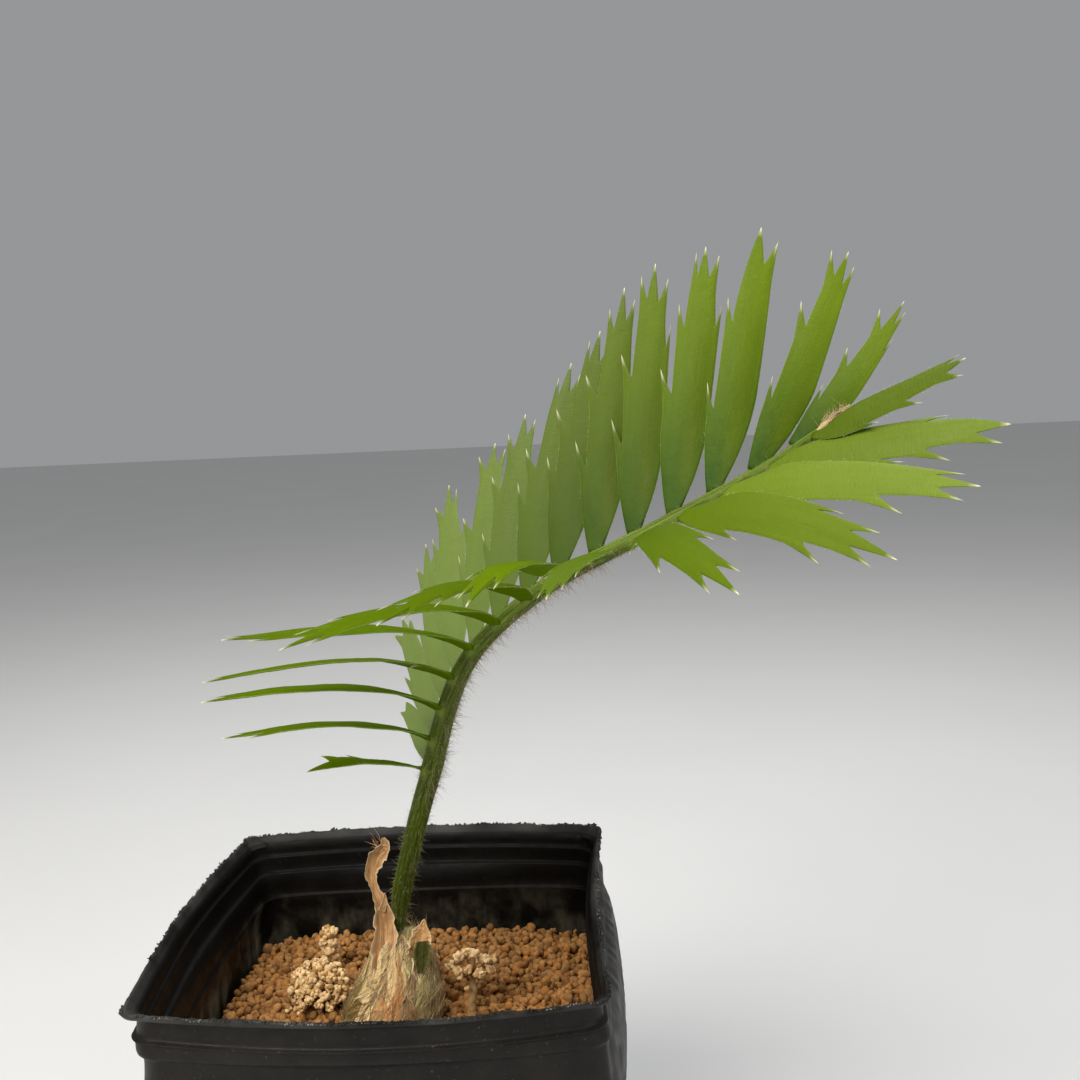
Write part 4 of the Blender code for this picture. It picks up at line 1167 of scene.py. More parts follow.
def coral_finger(rng):
    """Six levels of three clumps wound round an upright stem."""
    levels = np.repeat(np.arange(6), 3)
    swirl = np.tile(np.arange(3), 6) * 2 * np.pi / 3 + levels * 0.9
    spots = np.stack([-22.0 + np.cos(swirl), 20.0 + np.sin(swirl), 64.6 + levels * 2.05], axis=1)
    return join([
        *coral_clumps(spots, 0.7, 8, (0.55, 0.95), (0.62, 0.32, 0.06, 0.0), 1, rng),
        tube_surface(FINGER_STEM, (1.0, 1.2, 1.1, 0.8), 12, 12, SEED + 104, 2),
    ])


def coral_open(rng):
    """Thin branches from one fork, a clump on the end of each, and crumbs round the fork."""
    fork, ends = np.array(OPEN_FORK), np.array(OPEN_ENDS)
    branches = []
    for end in ends:
        path = (fork, fork * 0.6 + end * 0.4 + (0, 0, 0.4), end * 0.8 + fork * 0.2, end)
        branches.append(tube_surface(path, (0.75, 0.5, 0.45, 0.4), 7, 8, SEED + 105, 2))
    crumbs = fork + rng.normal(scale=(1.5, 1.3, 0.9), size=(22, 3))
    return join([
        *coral_clumps(ends, 0.72, 9, (0.42, 0.80), (0.62, 0.28, 0.08, 0.02), 1, rng),
        coral_nodules(crumbs, rng.uniform(0.25, 0.5, len(crumbs)), (0.2, 0.4, 0.3, 0.1), rng), *branches,
    ])


def build_corals(settings):
    """Clusters of small nodules: over an ellipsoid, stacked in a finger, and on the ends of thin branches."""
    colours = [
        coral_material("coral_%d" % (number + 1), np.array(settings.coral) * np.array(k))
        for number, k in enumerate(CORAL_TINTS)
    ]
    rng = np.random.default_rng(SEED + 100)
    make_piece("coral_cluster_large", coral_large(rng), colours, ("coral_root_large",))
    make_piece("coral_finger", coral_finger(rng), colours, ("coral_root_small",))
    make_piece("coral_open_cluster", coral_open(rng), colours, ("coral_root_right",))
    stalk = tube_surface(STALK_PATH, (1.15, 0.95, 0.9, 0.85), 16, 24, SEED + 106)
    stalk_tone, graph, shader, place = start_material("coral_stalk", 0.45, 0.5, subsurface=0.15)
    tone = use_group(graph, "mottle", place, 500.0, (0.24, 0.14, 0.05, 1.0), (0.50, 0.33, 0.15, 1.0))
    graph.feed(shader.inputs["Base Color"], tone["Colour"])
    add_bump(graph, shader, tone["Mask"], 0.0002, 0.4)
    make_piece("coral_stalk", stalk, [stalk_tone], ("coral_root_stalk",))


# ---- frond axis


AXIS_POINTS = np.array(AXIS_STATIONS, float)
AXIS_LENGTHS = np.concatenate([[0.0], np.cumsum(np.linalg.norm(np.diff(AXIS_POINTS, axis=0), axis=1))])
BRACT_COUNT = 44
WOOL_COUNT = 520
# Hairs: setting, share of it, from and to along the axis, facing, its spread, lengths, thickness, sag
PETIOLE_HAIRS = (
    ("fuzz", 0.22, -1, 50, 0.0, 3.0, (0.3, 0.8), 0.024, 0.05),
    ("long_hairs", 0.24, 1, 52, -np.pi / 2, 1.6, (0.9, 2.0), 0.03, 0.12),
    ("fuzz", 0.35, 96, 152, 0.0, 3.0, (0.25, 0.7), 0.024, 0.02),
)
RACHIS_HAIRS = (
    ("fuzz", 0.60, 44, 148, -np.pi / 2, 1.5, (0.3, 0.8), 0.03, 0.05),
    ("long_hairs", 0.55, 44, 112, -np.pi / 2, 0.85, (1.0, 2.6), 0.036, 0.12),
    ("long_hairs", 0.17, 105, 148, -np.pi / 2, 1.2, (0.6, 1.5), 0.03, 0.1),
)


def axis_at(distance):
    """Point on the axis; before its first station it runs on straight."""
    before = np.minimum(np.atleast_1d(np.asarray(distance, float)), 0.0)[:, None]
    return hermite(AXIS_LENGTHS, AXIS_POINTS, distance) + before * unit(AXIS_POINTS[1] - AXIS_POINTS[0])


def axis_along(distance):
    """Direction of the axis at each distance, from half a millimetre either side."""
    distance = np.atleast_1d(np.asarray(distance, float))
    return unit(axis_at(distance + 0.5) - axis_at(distance - 0.5))


def axis_radius(distance):
    """Mean radius of the axis at each distance."""
    places, radii = zip(*AXIS_RADII)
    return np.interp(distance, places, radii)


def foot_distance(row, pair):
    """Distance along the axis of a leaflet's foot: even steps, and the last one moved on."""
    pair = np.asarray(pair)
    return FOOT_FIRST[row] + FOOT_STEP[row] * (pair - 1) + FOOT_LAST[row] * (pair == PAIRS)


def lateral_at(pair):
    """Direction across the rachis, towards the near row, for each leaflet pair number in pair."""
    numbers = (1, 4, 7, 10, 14)
    laterals = []
    for number in numbers:
        distance = sum(foot_distance(row, number) for row in TIPS) / 2
        base = axis_at(distance)[0]
        near = unit(np.array(TIPS["near"][number - 1], float) - base)
        far = unit(np.array(TIPS["far"][number - 1], float) - base)
        along = axis_along(distance)[0]
        laterals.append(unit((near - far) - np.dot(near - far, along) * along))
    return unit(hermite(numbers, laterals, pair))


def axis_frame(distance):
    """Tangent, side (towards the near row) and upper direction at each distance along the axis."""
    distance = np.atleast_1d(distance)
    along = axis_along(distance)
    pair = (distance - FOOT_FIRST["near"]) / FOOT_STEP["near"] + 1
    side = lateral_at(pair)
    side = unit(side - (side * along).sum(1, keepdims=True) * along)
    return along, side, np.cross(side, along)


def stem_radius(distance, angle):
    """Section of the axis: a groove above with shoulders beside it, ribs, and swellings at the leaflets."""
    radius = axis_radius(distance) * np.ones_like(angle)
    from_top = angle_between(angle, np.pi / 2)
    groove = smooth((distance - 30) / 30) * 0.16 * np.exp(-((from_top / 0.3) ** 2))
    shoulder = smooth((distance - 30) / 30) * 0.10 * np.exp(-(((from_top - 0.75) / 0.3) ** 2))
    place = np.stack([np.cos(angle) * 2.2, np.sin(angle) * 2.2, distance * 0.05], axis=-1)
    ribs = 0.05 * lattice_noise(place, 0.55, SEED + 110) + 0.03 * lattice_noise(place, 0.25, SEED + 111)
    swell = np.zeros_like(radius)
    for row, centre in (("near", 0.0), ("far", np.pi)):
        feet = foot_distance(row, np.arange(PAIRS) + 1)
        nearest = np.abs(distance[..., None] - feet).min(-1)
        around = angle_between(angle - centre, 0.35 * np.cos(centre))
        swell += 0.28 * np.exp(-((nearest / 1.3) ** 2)) * np.exp(-((around / 0.55) ** 2))
    return radius * (1 - groove + shoulder + ribs) + swell


def stem_points(distance, angle, lift=0.0):
    """Points on the axis's surface, raised by lift, with the directions outward and along."""
    along, side, upper = axis_frame(np.ravel(distance))
    shape = np.shape(distance) + (3,)
    centre = axis_at(np.ravel(distance)).reshape(shape)
    side, upper = side.reshape(shape), upper.reshape(shape)
    out = side * np.cos(angle)[..., None] + upper * np.sin(angle)[..., None]
    return centre + out * (stem_radius(distance, angle) + lift)[..., None], out, along.reshape(shape)


def stem_material(settings):
    """Olive green stem: ribs along its length, paler ridges, brown speckling, a paler green upper face and
    paler places at the leaflets' feet.
    """
    material, graph, shader, place = start_material("green_stem", 0.55, 0.15)
    grain = read_attribute(graph, "grain").outputs["Vector"]
    rib = strands(graph, grain, (1.8, 1.8, 0.06), 0.7)
    colour = graph.mix(rib["Mask"], rgba(settings.stem, 0.6), rgba(settings.stem, 1.5))
    on_top, beside_foot = mask_channels(graph)[:2]
    top = graph.mix(rib["Mask"], rgba(settings.stem_top, 0.55), rgba(settings.stem_top, 1.4))
    colour = graph.mix(on_top, colour, top)
    speck = graph.window(graph.noise(place, 1400.0, 3.0, 0.7), 0.6, 0.7, 0.0, 0.55)
    colour = graph.mix(speck, colour, (0.13, 0.09, 0.035, 1.0))
    colour = graph.mix(beside_foot, colour, (0.20, 0.28, 0.04, 1.0))
    graph.feed(shader.inputs["Base Color"], colour)
    height = graph.maths("ADD", rib["Height"], graph.product(graph.noise(place, 2200.0), 0.4))
    add_bump(graph, shader, height, 0.0003, 0.7)
    return material


def hair_material(name, colour):
    """Hairs of one tint, a little darker and paler in turn."""
    return mottled_material(name, 0.55, 0.3, 600.0, rgba(colour, 0.75), rgba(colour, 1.2))


def green_axis():
    """Section carried along the axis, with masks for its upper face and the paler places at each foot."""
    rows, cols = 420, 40
    distance, angle = np.meshgrid(np.linspace(-4.5, GREEN_END + 6.8, rows), turns(cols), indexing="ij")
    points, _, _ = stem_points(distance, angle)
    grain = np.stack([np.cos(angle) * 2.4, np.sin(angle) * 2.4, distance], axis=-1)
    mask = np.zeros((rows, cols, 4))
    top = np.exp(-((angle_between(angle, np.pi / 2) / 0.8) ** 2))
    mask[..., 0] = top * smooth((distance - 70) / 50)
    feet = np.concatenate([foot_distance(row, np.arange(PAIRS) + 1) for row in TIPS])
    beside = smooth((np.maximum(np.cos(angle - 0.3), np.cos(angle - np.pi + 0.3)) - 0.75) / 0.25)
    mask[..., 1] = beside * np.exp(-((np.abs(distance[..., None] - feet).min(-1) / 1.2) ** 2)) * 0.6
    return closed_tube(points, grain, mask)


def withered_tip():
    """A thin dry core beyond the green axis, wrapped in small bracts and short wool."""
    rng = np.random.default_rng(SEED + 120)
    start, end = axis_at(156.0)[0], axis_at(160.0)[0]
    along, side, upper = (values[0] for values in axis_frame(155.0))
    start, end = start + upper * 0.35, end + upper * 0.5 + along * 0.3
    line = (start - along * 1.5 - upper * 0.3, start, start * 0.4 + end * 0.6, end)
    parts = [tube_surface(line, (0.5, 0.6, 0.6, 0.25), 12, 30, SEED + 121)]
    for number in range(BRACT_COUNT):
        foot = start + (end - start) * (0.02 * number) + rng.normal(scale=0.25, size=3)
        way = unit(along * 1.5 + side * rng.normal(scale=0.5) + upper * rng.normal(scale=0.4))
        reach = rng.uniform(0.8, 1.9)
        path = (foot, foot + way * reach * 0.5 + upper * rng.normal(scale=0.2), foot + way * reach)
        widths = (0.6, rng.uniform(0.4, 0.9), 0.06)
        facing = side + rng.normal(scale=0.4, size=3)
        parts.append(ribbon(path, widths, facing, 0.6, 0.08, 10, 6, 0.3, SEED + 122 + number))
    each = (WOOL_COUNT, 3)
    roots = start + (end - start) * rng.uniform(0.0, 1.0, (WOOL_COUNT, 1)) + rng.normal(scale=0.4, size=each)
    ways = unit(along * 1.2 + rng.normal(scale=0.7, size=each))
    lengths = rng.uniform(0.5, 1.7, WOOL_COUNT)
    return join(parts + [threads(roots, ways, lengths, rng.normal(scale=0.35, size=each), 0.04)])


def build_stem(settings):
    """The green axis from inside the bulb, and the dry tip beyond it."""
    nodes = ("petiole", "rachis_lower", "rachis_upper")
    make_piece("frond_axis", green_axis(), [stem_material(settings)], nodes)
    tan = papery_material("withered_tip", (0.34, 0.22, 0.10), (0.72, 0.54, 0.31), (0.84, 0.70, 0.46))
    make_piece("withered_tip", withered_tip(), [tan], ("rachis_tip",))


def axis_hairs(count, low, high, arc, spread, lengths, thickness, sag, rng):
    """Threads standing off the axis between two distances, facing arc give or take spread."""
    distance = rng.uniform(low, high, count)
    angle = arc + rng.normal(scale=spread, size=count)
    points, out, along = stem_points(distance, angle, -0.05)
    lean = along * rng.normal(scale=0.35, size=(count, 1))
    ways = unit(out + lean + rng.normal(scale=0.28, size=(count, 3)))
    bend = rng.normal(scale=0.3, size=(count, 3)) + np.array((0.0, 0.0, -sag))
    return threads(points, ways, rng.uniform(*lengths, count), bend, thickness, 4)


def build_hairs(settings):
    """Short fuzz all round the axis, and long hairs on its under side."""
    rng = np.random.default_rng(SEED + 130)
    for piece, material, colour, table in (
        ("petiole_hairs", "hair_pale", settings.hair_pale, PETIOLE_HAIRS),
        ("rachis_hairs", "hair_tan", settings.hair_tan, RACHIS_HAIRS),
    ):
        parts = [axis_hairs(int(getattr(settings, what) * share), *rest, rng) for what, share, *rest in table]
        make_piece(piece, join(parts), [hair_material(material, colour)])


# ---- leaflets


BLADE_THICKNESS = 0.42
CORE_SHARE = 0.9  # share of the half width inside the blade's thin rim band
SPINE_LEAN = 0.10  # free length of a spine, as a share of the blade's length
SPINE_CHORD = 0.075  # length of the margin from which a spine rises
SPINE_POWER = 1.15  # above 1 the spine's sides are hollow
STEP_IN = {("near", -1): 0.22, ("near", 1): 0.24, ("far", -1): 0.27, ("far", 1): 0.17}
BLADE_CUP = 0.13
RIM_STEPS = (0.3, 0.6, 0.85, 1.0)  # columns from the face to the outline
CHORD_STEPS = (0, 0.13, 0.3, 0.42, 0.5, 0.58, 0.7, 0.87, 1)  # rows over a spine's chord
BLADE_TABLES = {
    "twist": BLADE_TWIST, "foot_twist": TWIST_AT_FOOT, "tip_twist": TWIST_AT_TIP, "arch": BLADE_ARCH,
    "skew": BLADE_SKEW, "sweep": BLADE_SWEEP,
}


def blade_frame(row, pair):
    """Foot, tip, length and directions across and off a blade, with its twists, arch, skew and sweep."""
    distance = float(foot_distance(row, pair))
    base = axis_at(distance)[0]
    along = axis_along(distance)[0]
    tip = np.array(TIPS[row][pair - 1], float)
    outward = tip - base
    outward = unit(outward - np.dot(outward, along) * along)
    foot = base + outward * axis_radius(distance) * 0.75
    chord = unit(tip - foot)
    across = unit(along - np.dot(along, chord) * chord)
    upper = np.cross(lateral_at(pair)[0], along)
    facing = unit(upper - np.dot(upper, chord) * chord - np.dot(upper, across) * across)
    bends = {name: at_pair(table[row], pair) for name, table in BLADE_TABLES.items()}
    length = np.linalg.norm(tip - foot)
    return {"foot": foot, "tip": tip, "across": across, "facing": facing, "length": length, **bends}


def blade_map(blade, station, offset, height):
    """Point at a station along the midrib, an offset across and a height off the blade.

    foot + chord*station + 4s(1-s)(1 + skew(1-2s))*length*(arch up + sweep across), then offset and height
    along directions turned about the chord by the twist, which grows from its share at the foot to full by
    station 0.35, and on by the tip's twist from 0.45 to 0.8.
    """
    twist = math.radians(blade["twist"])

    def turned(angle):
        cos, sin = np.cos(angle)[..., None], np.sin(angle)[..., None]
        return cos * blade["across"] - sin * blade["facing"], sin * blade["across"] + cos * blade["facing"]

    wide, face = turned(np.array(twist))
    bow = (blade["arch"] * face + blade["sweep"] * wide) * blade["length"]
    turn = twist * (blade["foot_twist"] + (1 - blade["foot_twist"]) * smooth(station / 0.35))
    turn = turn + math.radians(blade["tip_twist"]) * smooth((station - 0.45) / 0.35)
    wide, face = turned(turn)
    rise = 4 * station * (1 - station) * (1 + blade["skew"] * (1 - 2 * station))
    line = blade["foot"] + (blade["tip"] - blade["foot"]) * station[..., None] + rise[..., None] * bow
    return line + wide * offset[..., None] + face * height[..., None]


def margin_side(row, pair, sign):
    """One side of a blade: the margin as a broken line of (station, width share), and its spines.

    The width swells to 1 at the shoulder by 1 - (1 - u)^2. At each spine the margin steps in from the spine's
    heel to its notch, and the spine is kept as (heel, notch, its station, its reach, widths at both).
    """
    shoulder = at_pair(BLADE_SHOULDER[row], pair)
    points = SPINES[row][pair - 1][0 if sign < 0 else 1]
    foot = FOOT_HALF / (at_pair(BLADE_WIDTH, pair) / 2)
    line, spines = [], []
    last = (shoulder, 1.0)
    for point, reach in points:
        lean = min(SPINE_LEAN, 0.33 * point)
        notch = point - lean
        heel = notch - min(SPINE_CHORD, 0.3 * point)
        apex = point > 0.86
        if heel < shoulder:
            level = foot + (1 - foot) * (1 - (1 - heel / shoulder) ** 2)
        elif apex:
            level = min(last[1] * 0.92, max(0.5 * reach + 0.34, reach * 0.95))
        else:
            level = last[1] + (min(reach, 0.98) - last[1]) * (heel - last[0]) / (point - last[0])
        step = level * 0.42 if apex else level - STEP_IN[row, sign] * (0.6 if heel < 0.3 else 1.0)
        line += [(heel, level), (notch, step)]
        spines.append((heel, notch, point, reach, level, step))
        last = (notch, step)
    start = line[0][0] if line else 0.5
    swell = [(u * shoulder, foot + (1 - foot) * (1 - (1 - u) ** 2)) for u in np.linspace(0, 1, 13)]
    line = [spot for spot in swell if spot[0] < start - 0.01] + line
    power = 1.0 if points and points[-1][0] > 0.86 else 2.0
    line += [(last[0] + (1 - last[0]) * u, last[1] * (1 - u**power) + 0.012) for u in np.linspace(0.1, 1, 10)]
    return np.array(line), spines


def margin_edge(station, side):
    """Margin's width at each station, and the outline's place with the spines drawn out of it.

    Over a spine's chord, t runs 0 to 1 and the outline leaves the chord by (2 min(t, 1 - t))^power of the way
    from the chord's middle to the spine's point, so both sides of the spine end there.
    """
    line, spines = side
    width = np.interp(station, line[:, 0], line[:, 1])
    place, reach, drawn = station.copy(), width.copy(), np.zeros_like(station)
    for heel, notch, point, out, level, step in spines:
        t = np.clip((station - heel) / (notch - heel), 0.0, 1.0)
        grow = (2 * np.minimum(t, 1 - t)) ** SPINE_POWER
        place += grow * (point - (heel + notch) / 2)
        reach += grow * (out - (level + step) / 2)
        drawn += grow
    return width, place, reach, drawn


def blade_surface(row, pair):
    """The whole blade as one closed surface: rows are stations, columns run over the face and back under it.

    Inside CORE_SHARE of the half width a column is a share of it; the last four on each side run from there
    to the outline, which is drawn out into spines. Height is -cup*offset^2 plus ripples, plus or minus half
    the thickness, which closes to nothing at the outline.
    """
    blade = blade_frame(row, pair)
    half = at_pair(BLADE_WIDTH, pair) / 2
    sides = {sign: margin_side(row, pair, sign) for sign in (-1, 1)}
    chords = [
        heel + (notch - heel) * t
        for sign in sides for heel, notch, *_ in sides[sign][1] for t in CHORD_STEPS
    ]
    station = np.unique(np.round(np.concatenate([np.linspace(0, 0.96, 37), (0.98, 0.992, 1.0), chords]), 4))
    station = station[np.concatenate([[True], np.diff(station) > 0.0012])]
    core = np.pad(np.linspace(-1, 1, 9), len(RIM_STEPS), mode="edge") * CORE_SHARE
    shares = np.concatenate([RIM_STEPS[::-1], np.zeros(9), RIM_STEPS])
    cols = len(core)
    around = np.concatenate([np.arange(cols), np.arange(cols - 2, 0, -1)])
    face = np.where(np.arange(len(around)) < cols, 1.0, -1.0)
    halves = []
    for sign, chosen in ((-1, core < 0), (1, core >= 0)):
        width, edge_at, edge_out, spread = (values[:, None] for values in margin_edge(station, sides[sign]))
        q = shares[chosen]
        at = station[:, None] * (1 - q) + edge_at * q
        out = half * (core[chosen] * width * (1 - q) + sign * edge_out * q)
        halves.append((at, out, np.broadcast_to(q, at.shape), spread * q))
    place, offset, rim, drawn = (np.hstack(parts)[:, around] for parts in zip(*halves))
    fade = smooth(place / 0.12) * smooth((1.03 - place) / 0.2)
    seed = 200 + pair + 20 * (row == "far")
    ripple_at = np.stack([place * 7 + seed, offset * 0.22, np.zeros_like(place)], axis=-1)
    ripple = 0.15 * lattice_noise(ripple_at, 1.0, seed)
    ripple = ripple + 0.035 * lattice_noise(ripple_at * np.array((6.0, 3.0, 1.0)), 1.0, seed + 1)
    thick = BLADE_THICKNESS / 2 * (1 - 0.3 * (offset / half) ** 2 * (rim < 0.01)) * np.sqrt(1 - rim)
    thick = np.clip(thick, 0.0, None) * (0.4 + 0.6 * smooth((1.0 - place) / 0.15))
    thick = thick * (1 + 1.5 * (1 - smooth(place / 0.08)))
    height = -BLADE_CUP * half * fade * (offset / half) ** 2 + ripple * fade + face[None] * thick
    points = blade_map(blade, place, offset, height)
    apart = np.broadcast_to(face[None] * 3.0 + seed, place.shape)
    grain = np.stack([offset, place * blade["length"], apart], axis=-1)
    mask = np.zeros(place.shape + (4,))
    mask[..., 0] = np.maximum(smooth((drawn - 0.66) / 0.3), smooth((place - 0.97) / 0.025) * (drawn < 0.01))
    mask[..., 1] = smooth((rim - 0.7) / 0.3) * fade * (1 - 0.75 * smooth(drawn / 0.5))
    mask[..., 2] = place
    # fourth mask channel: where the painted shade of a trough beside the midrib goes
    trough_shade = np.exp(-(((offset / half - 0.38) / 0.3) ** 2))
    mask[..., 3] = trough_shade * smooth((0.75 - place) / 0.6) * smooth(place / 0.2)
    return closed_tube(points, grain, mask), blade


def leaf_material(name, body, foot, settings, trough_shade, specular):
    """Leathery blade: faint parallel veins and cross wrinkles, deeper colour at the foot, painted shade in a
    band beside the midrib, a pale rim and cream points.
    """
    material, graph, shader, place = start_material(name, 0.44, specular)
    body = np.array(body)
    grain = read_attribute(graph, "grain").outputs["Vector"]
    point, margin, along, beside = mask_channels(graph)
    wide = strands(graph, grain, (0.5, 0.03, 1.0), 0.2)
    vein = strands(graph, grain, (3.4, 0.04, 1.0), 0.5)
    wrinkle = strands(graph, grain, (0.55, 2.4, 1.0), 0.3)
    colour = graph.mix(wide["Mask"], rgba(body, 0.9), rgba(body, 1.1))
    colour = graph.mix(graph.product(vein["Mask"], 0.10), colour, rgba(body, 0.6))
    colour = graph.mix(graph.product(wrinkle["Mask"], 0.12), colour, rgba(body, 1.5))
    near_foot = graph.maths("POWER", graph.window(along, 0.05, 0.8, 1.0, 0.0), 1.3)
    colour = graph.mix(near_foot, colour, rgba(foot))
    # painted shade: a darker, yellower band beside the midrib, where a shallow trough is shaded
    colour = graph.mix(graph.product(beside, trough_shade), colour, rgba(body * np.array((0.72, 0.66, 0.25))))
    blotch = graph.window(graph.noise(place, 260.0, 4.0), 0.4, 0.7, 0.0, 0.22)
    colour = graph.mix(blotch, colour, rgba(body * np.array((0.78, 0.86, 0.6))))
    colour = graph.mix(graph.product(margin, 0.7), colour, rgba(settings.rim))
    graph.feed(shader.inputs["Base Color"], graph.mix(point, colour, rgba(settings.spine)))
    height = graph.maths("ADD", graph.product(vein["Height"], 0.3), graph.product(wrinkle["Height"], 0.6))
    height = graph.maths("ADD", height, graph.product(graph.noise(place, 900.0, 2.0), 0.5))
    add_bump(graph, shader, height, 0.0005, 0.5)
    rough = graph.window(graph.noise(place, 700.0, 3.0), 0.3, 0.7, 0.40, 0.55)
    graph.feed(shader.inputs["Roughness"], rough)
    return material


def leaf_colours(settings, row, pair):
    """Body and foot colours: bluish and pale at the frond's base, deep and yellower towards its tip, each
    leaflet scaled by painted light and shade; near blades towards the tip take a paler upper colour, a
    painted sheen.
    """
    pale, deep, lit, top = (
        np.array(getattr(settings, "leaf_" + tone)) for tone in ("pale", "deep", "lit", "top"))
    share = float(smooth((pair - 4) / 7.0))
    if row == "far":
        body = pale * (1 - share) + deep * share
        body = body * (1 + np.array((0.25, 0.22, 0.6)) * max(0.0, 5.0 - pair) / 4)
        # each far leaflet's painted light and shade
        body = body * at_pair(LEAF_PAINTED_LIGHT["far"], pair)
        foot = body * (np.array((1.0, 1.0, 1.2)) * (1 - share) + np.array((0.22, 0.38, 0.005)) * share)
        return body, foot
    # painted light and shade per leaflet; towards the tip the upper colour, a painted sheen on blades that
    # face up into the light
    pale_share = float(smooth((pair - 9.5) / 2.5)) * (0.9 if pair < 14 else 0.4)
    body = (lit * (1 - pale_share) + top * pale_share) * at_pair(LEAF_PAINTED_LIGHT["near"], pair)
    return body, body * np.array((0.78, 0.85, 0.3))


def build_leaflets(settings):
    """Each row's blades, their materials changing along it, and the hairs of all their margins."""
    hair_parts = []
    rng = np.random.default_rng(SEED + 140)
    for row in TIPS:
        for pair in range(1, PAIRS + 1):
            surface, blade = blade_surface(row, pair)
            body, foot = leaf_colours(settings, row, pair)
            name = "%s_%02d" % (row, pair)
            trough_shade, gloss = (
                next(value for last, value in table[row] if pair <= last)
                for table in (LEAF_TROUGH_SHADE, LEAF_GLOSS)
            )
            material = leaf_material("leaf_" + name, body, foot, settings, trough_shade, gloss)
            make_piece("blade_" + name, surface, [material], ("leaflet_" + name,))
            hair_parts.append(margin_hairs(row, pair, blade, settings.margin_hairs, rng))
    hair = hair_material("hair_margin", settings.hair_pale)
    make_piece("margin_hairs", join(hair_parts), [hair])


def margin_hairs(row, pair, blade, count, rng):
    """Sparse short hairs standing out from both margins, pointing outward and a little forward."""
    half = at_pair(BLADE_WIDTH, pair) / 2
    station = rng.uniform(0.04, 0.9, count)
    sign = np.where(rng.uniform(size=count) < 0.5, -1.0, 1.0)
    below = np.interp(station, *margin_side(row, pair, -1)[0].T)
    above = np.interp(station, *margin_side(row, pair, 1)[0].T)
    width = half * np.where(sign < 0, below, above)
    dip = -BLADE_CUP * half * smooth(station / 0.12) * (width / half) ** 2
    roots = blade_map(blade, station, sign * (width - 0.08), dip)
    aim = dip + rng.normal(scale=0.3, size=count)
    beyond = blade_map(blade, station + 0.02, sign * (width + 0.9), aim)
    bend = rng.normal(scale=0.25, size=(count, 3))
    return threads(roots, unit(beyond - roots), rng.uniform(0.25, 0.75, count), bend, 0.022, 4)


# ---- stage


CAMERA_PLACE = (42.05, -255.3, 200.8)
CAMERA_YAW = -0.0358
CAMERA_PITCH = 0.1246
CAMERA_ROLL = -0.0454
CAMERA_LENS = 41.04  # millimetres on a 36 mm square frame


def camera_matrix():
    """Camera axes from yaw about Z, pitch down and roll about the line of sight."""
    forward = Vector((
        math.sin(CAMERA_YAW) * math.cos(CAMERA_PITCH), math.cos(CAMERA_YAW) * math.cos(CAMERA_PITCH),
        -math.sin(CAMERA_PITCH)))
    level = Vector((math.cos(CAMERA_YAW), -math.sin(CAMERA_YAW), 0.0))
    high = level.cross(forward)
    right = math.cos(CAMERA_ROLL) * level + math.sin(CAMERA_ROLL) * high
    up = -math.sin(CAMERA_ROLL) * level + math.cos(CAMERA_ROLL) * high
    turned = Matrix((right, up, -forward)).transposed().to_4x4()
    return Matrix.Translation(Vector(CAMERA_PLACE) * MM) @ turned


def add_light(name, place, target, size, power, colour):
    """A round soft light at place, facing target."""
    data = bpy.data.lights.new(name, "AREA")
    data.shape = "DISK"
    data.size = size
    data.energy = power
    data.color = colour
    obj = bpy.data.objects.new(name, data)
    obj.location = place
    obj.rotation_euler = (Vector(target) - Vector(place)).to_track_quat("-Z", "Y").to_euler()
    bpy.context.scene.collection.objects.link(obj)


def build_stage(settings):
    """Pale floor, three large soft lights, an even pale world, and the camera."""
    scene = bpy.context.scene
    paper = mottled_material("floor_paper", 0.9, 0.2, 6.0, rgba(settings.floor, 0.97), rgba(settings.floor))
    mesh = bpy.data.meshes.new("floor")
    half = settings.floor_half
    corners = [(x * half, y * half, 0) for x, y in ((-1, -1), (1, -1), (1, 1), (-1, 1))]
    mesh.from_pydata(corners, [], [(0, 1, 2, 3)])
    mesh.materials.append(paper)
    floor = bpy.data.objects.new("floor", mesh)
    scene.collection.objects.link(floor)
    world = bpy.data.worlds.new("studio")
    world.use_nodes = True
    background = world.node_tree.nodes["Background"]
    background.inputs["Color"].default_value = (0.80, 0.81, 0.83, 1.0)
    background.inputs["Strength"].default_value = settings.ambient
    scene.world = world
    target = (0.03, -0.02, 0.14)
    add_light("key", (-0.28, -0.55, 0.72), target, 0.55, settings.key, (1.0, 0.97, 0.92))
    add_light("fill", (0.65, -0.45, 0.35), target, 0.6, settings.key * 0.18, (0.93, 0.96, 1.0))
    add_light("top", (0.05, 0.30, 0.80), target, 0.5, settings.key * 0.35, (1.0, 1.0, 1.0))
    data = bpy.data.cameras.new("camera")
    data.sensor_fit = "HORIZONTAL"
    data.sensor_width = 36.0
    data.lens = CAMERA_LENS
    data.clip_start = 0.005
    data.clip_end = 20.0
    camera = bpy.data.objects.new("camera", data)
    camera.matrix_world = camera_matrix()
    scene.collection.objects.link(camera)
    scene.camera = camera
    scene.view_settings.view_transform = "Standard"
    scene.view_settings.look = "None"
    scene.view_settings.exposure = 0.0


# ---- settings, operators, panel


def colour_prop(name, description, default):
    return FloatVectorProperty(
        name=name, description=description, default=default, size=3, min=0.0, max=1.0, subtype="COLOR")


